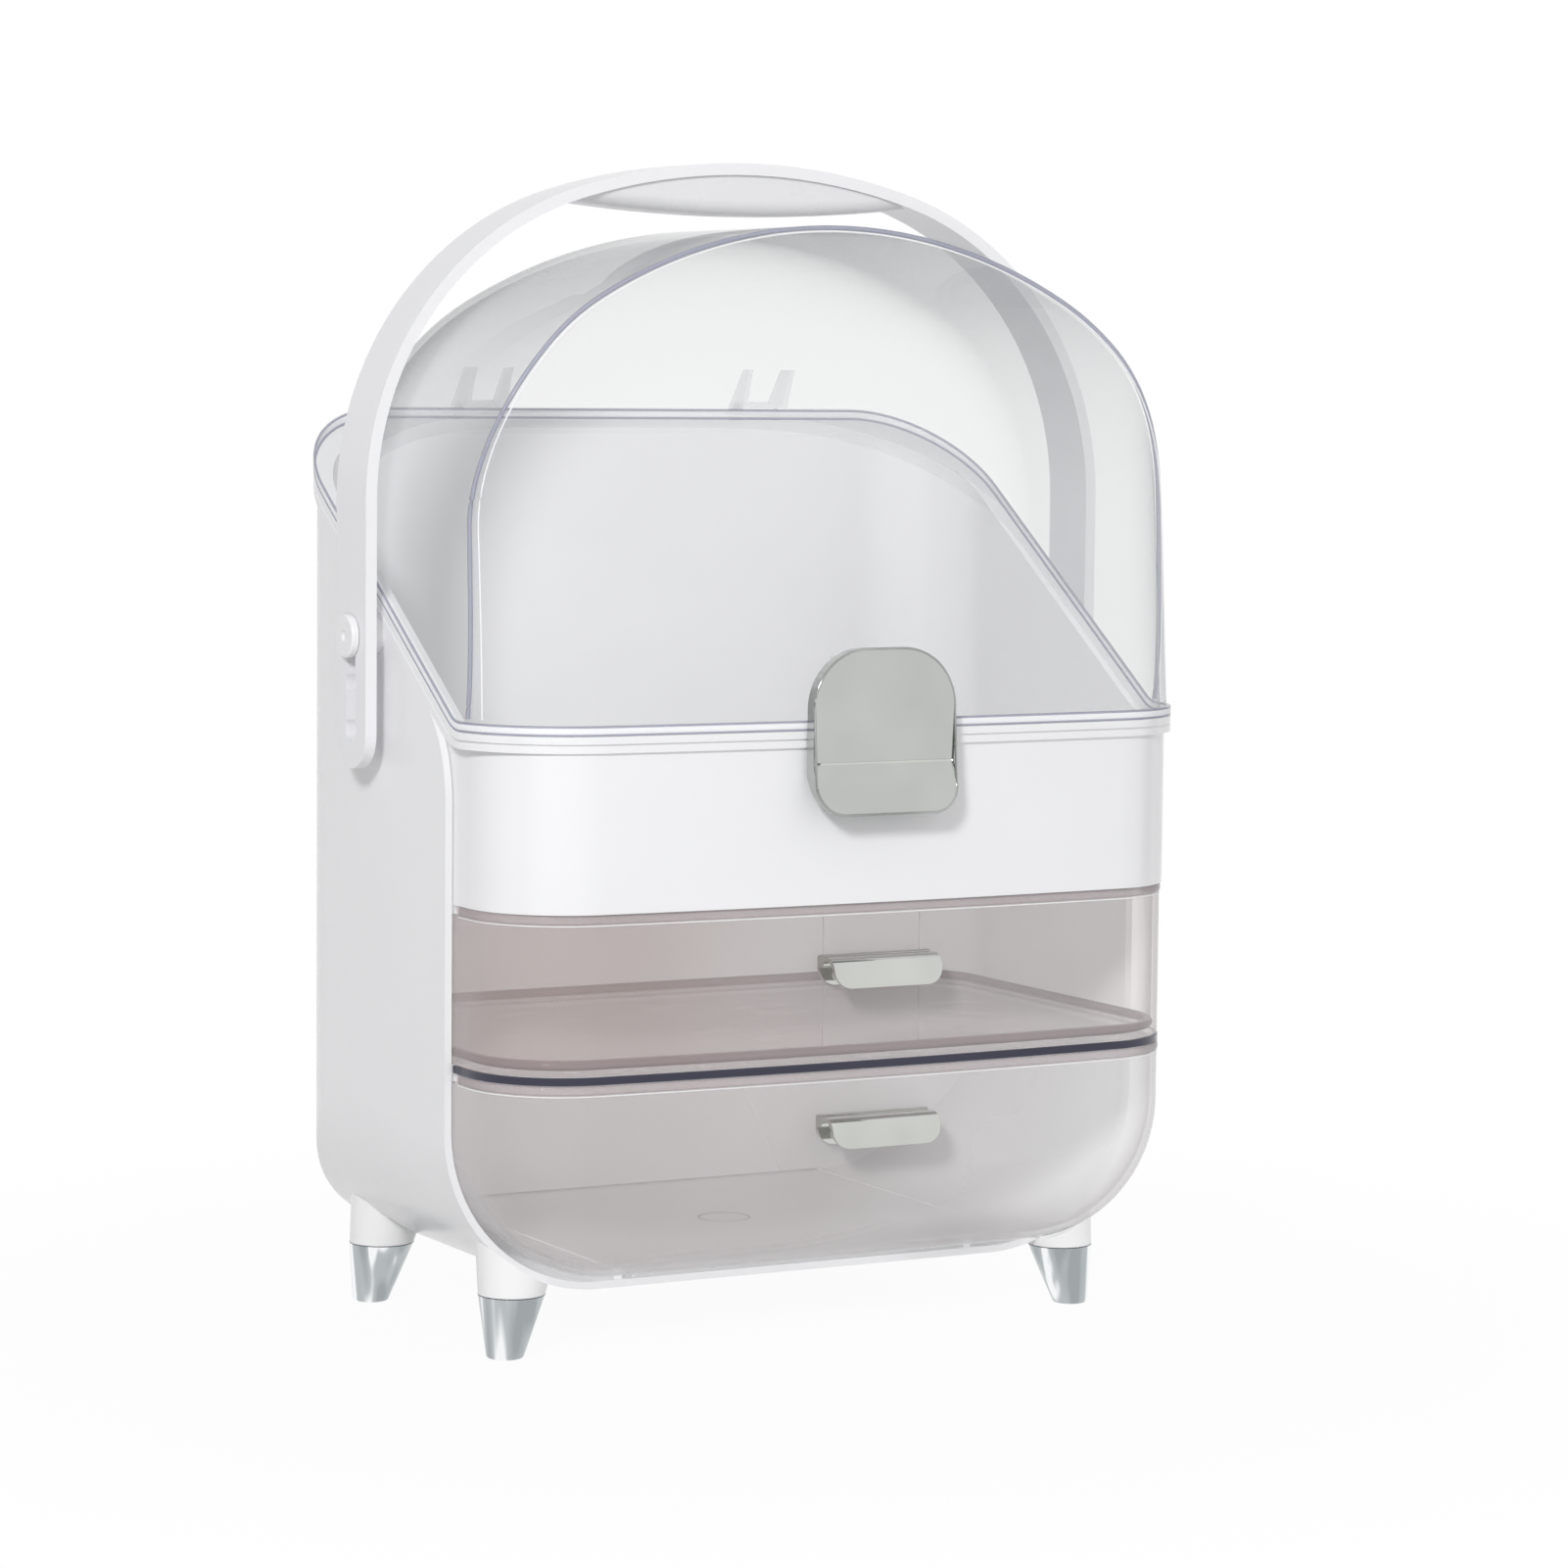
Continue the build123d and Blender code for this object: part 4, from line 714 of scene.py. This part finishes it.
def set_studio():
    """White world for the rays that show it, a plain dimmer room for light, and the lamps."""
    world = bpy.data.worlds.new("studio")
    bpy.context.scene.world = world
    world.use_nodes = True
    tree = world.node_tree
    background = tree.nodes["Background"]
    set_sockets(background, Color=(1, 1, 1, 1))
    place = tree.nodes.new("ShaderNodeTexCoord")
    slope = tree.nodes.new("ShaderNodeVectorMath")
    slope.operation = "DOT_PRODUCT"
    slope.inputs[1].default_value = ROOM_SLOPE
    tree.links.new(place.outputs["Generated"], slope.inputs[0])
    level = tree.nodes.new("ShaderNodeMath")
    level.inputs[1].default_value = ROOM_BASE
    tree.links.new(slope.outputs["Value"], level.inputs[0])
    mix = tree.nodes.new("ShaderNodeMix")
    mix.inputs[MIX_VALUE_B].default_value = 1.0
    tree.links.new(seen_rays(tree), mix.inputs[MIX_SHARE])
    tree.links.new(level.outputs["Value"], mix.inputs[MIX_VALUE_A])
    tree.links.new(mix.outputs[MIX_VALUE], background.inputs["Strength"])
    for name, place, size, power, mirrored in LAMPS:
        light = bpy.data.lights.new(name, "AREA")
        light.size = size
        light.energy = power
        lamp = bpy.data.objects.new(name, light)
        turned = (Vector(LAMP_AIM) - Vector(place)).to_track_quat("-Z", "Y").to_matrix().to_4x4()
        lamp.matrix_world = Matrix.Translation(place) @ turned
        lamp.visible_glossy = mirrored
        bpy.context.scene.collection.objects.link(lamp)


# Floor disc: radii of its rings in metres, its lit colour, and the near and the far end of its
# share of plain white, each as distance in metres and share
FLOOR_RINGS = (0.0001, 0.5, 1.5, 4.0, 12.0)
FLOOR_SPOKES = 96
FLOOR_LOW, FLOOR_HIGH = (0.69, 0.69, 0.69), (0.71, 0.71, 0.71)
WHITE_NEAR, WHITE_FAR = (0.18, 0.95), (0.45, 1.0)


def set_floor():
    """Pale floor disc: radius times (cos, sin) of the turn. Where it is seen it is nearly white:
    share*white + (1-share)*lit floor, with the share rising to 1 away from the object, so only a
    faint shadow shows."""
    turn = np.linspace(0, 2 * np.pi, FLOOR_SPOKES, endpoint=False)
    count = len(FLOOR_RINGS)
    verts = np.stack([np.outer(FLOOR_RINGS, np.cos(turn)), np.outer(FLOOR_RINGS, np.sin(turn)),
                      np.zeros((count, FLOOR_SPOKES))], -1).reshape(-1, 3)
    r, c = np.meshgrid(np.arange(count - 1), np.arange(FLOOR_SPOKES), indexing="ij")
    row, next_row, next_c = r * FLOOR_SPOKES, (r + 1) * FLOOR_SPOKES, (c + 1) % FLOOR_SPOKES
    faces = np.stack([row + c, next_row + c, next_row + next_c, row + next_c], -1).reshape(-1, 4)
    mesh = bpy.data.meshes.new("floor")
    mesh.from_pydata(verts.tolist(), [], faces.tolist())
    floor = bpy.data.objects.new("floor", mesh)
    bpy.context.scene.collection.objects.link(floor)
    material, tree, shader = new_material("pale_floor")
    tree.links.new(clouds(tree, FLOOR_WAVES, FLOOR_LOW, FLOOR_HIGH), shader.inputs["Base Color"])
    set_sockets(shader, Roughness=0.9, Specular_IOR_Level=0.0)
    glow = tree.nodes.new("ShaderNodeEmission")
    set_sockets(glow, Color=(1, 1, 1, 1), Strength=1.0)
    place = tree.nodes.new("ShaderNodeTexCoord")
    far = tree.nodes.new("ShaderNodeVectorMath")
    far.operation = "LENGTH"
    tree.links.new(place.outputs["Object"], far.inputs[0])
    share = tree.nodes.new("ShaderNodeMapRange")
    set_sockets(share, From_Min=WHITE_NEAR[0], From_Max=WHITE_FAR[0],
                To_Min=WHITE_NEAR[1], To_Max=WHITE_FAR[1])
    tree.links.new(far.outputs["Value"], share.inputs["Value"])
    seen = tree.nodes.new("ShaderNodeMath")
    seen.operation = "MULTIPLY"
    tree.links.new(share.outputs["Result"], seen.inputs[0])
    tree.links.new(seen_rays(tree), seen.inputs[1])
    mix = tree.nodes.new("ShaderNodeMixShader")
    tree.links.new(seen.outputs["Value"], mix.inputs[0])
    tree.links.new(shader.outputs["BSDF"], mix.inputs[1])
    tree.links.new(glow.outputs["Emission"], mix.inputs[2])
    tree.links.new(mix.outputs["Shader"], tree.nodes["Material Output"].inputs["Surface"])
    mesh.materials.append(material)


# Dark cards beside the object that only mirrors see: name, middle in metres, turn about Z in
# degrees; then their width and height in metres
CARDS = (("card_left", (-1.4, -0.55, 0.35), 70.0), ("card_right", (1.4, -0.35, 0.35), -75.0))
CARD_WIDE, CARD_HIGH = 0.5, 1.3


def set_cards():
    """Upright dark cards, each a level line times a height: middle + u*along + v*up."""
    u = np.array([-1, 1, 1, -1])[:, None] * CARD_WIDE / 2
    v = np.array([-1, -1, 1, 1])[:, None] * CARD_HIGH / 2
    for name, middle, turn in CARDS:
        along = np.array([cos(radians(turn)), sin(radians(turn)), 0.0])
        corners = np.array(middle) + u * along + v * np.array([0.0, 0.0, 1.0])
        mesh = bpy.data.meshes.new(name)
        mesh.from_pydata(corners.tolist(), [], [(0, 1, 2, 3)])
        card = bpy.data.objects.new(name, mesh)
        bpy.context.scene.collection.objects.link(card)
        mesh.materials.append(dark_strip)
        card.visible_camera = False
        card.visible_diffuse = False
        card.visible_shadow = False
        card.visible_transmission = False


# Clear plastic lets nearly all light through, so what stands behind it isn't shaded by it
SEE_THROUGH = (clear_lid, clear_edge, clear_band, hinge_clear, smoky, smoky_low, smoky_edge,
               corner_shade, faint_line, pale_line)
for thing in bpy.context.scene.objects:
    if thing.type == "MESH" and any(m in SEE_THROUGH for m in thing.data.materials):
        thing.visible_shadow = False
        thing.visible_diffuse = False

# The bin's floor and the shelf let the room's soft light down into the drawers
for name in ("upper_bin", "divider_shelf"):
    frame["nodes"][name].visible_diffuse = False

set_camera()
set_studio()
set_floor()
set_cards()
bpy.context.scene.view_settings.view_transform = "Standard"
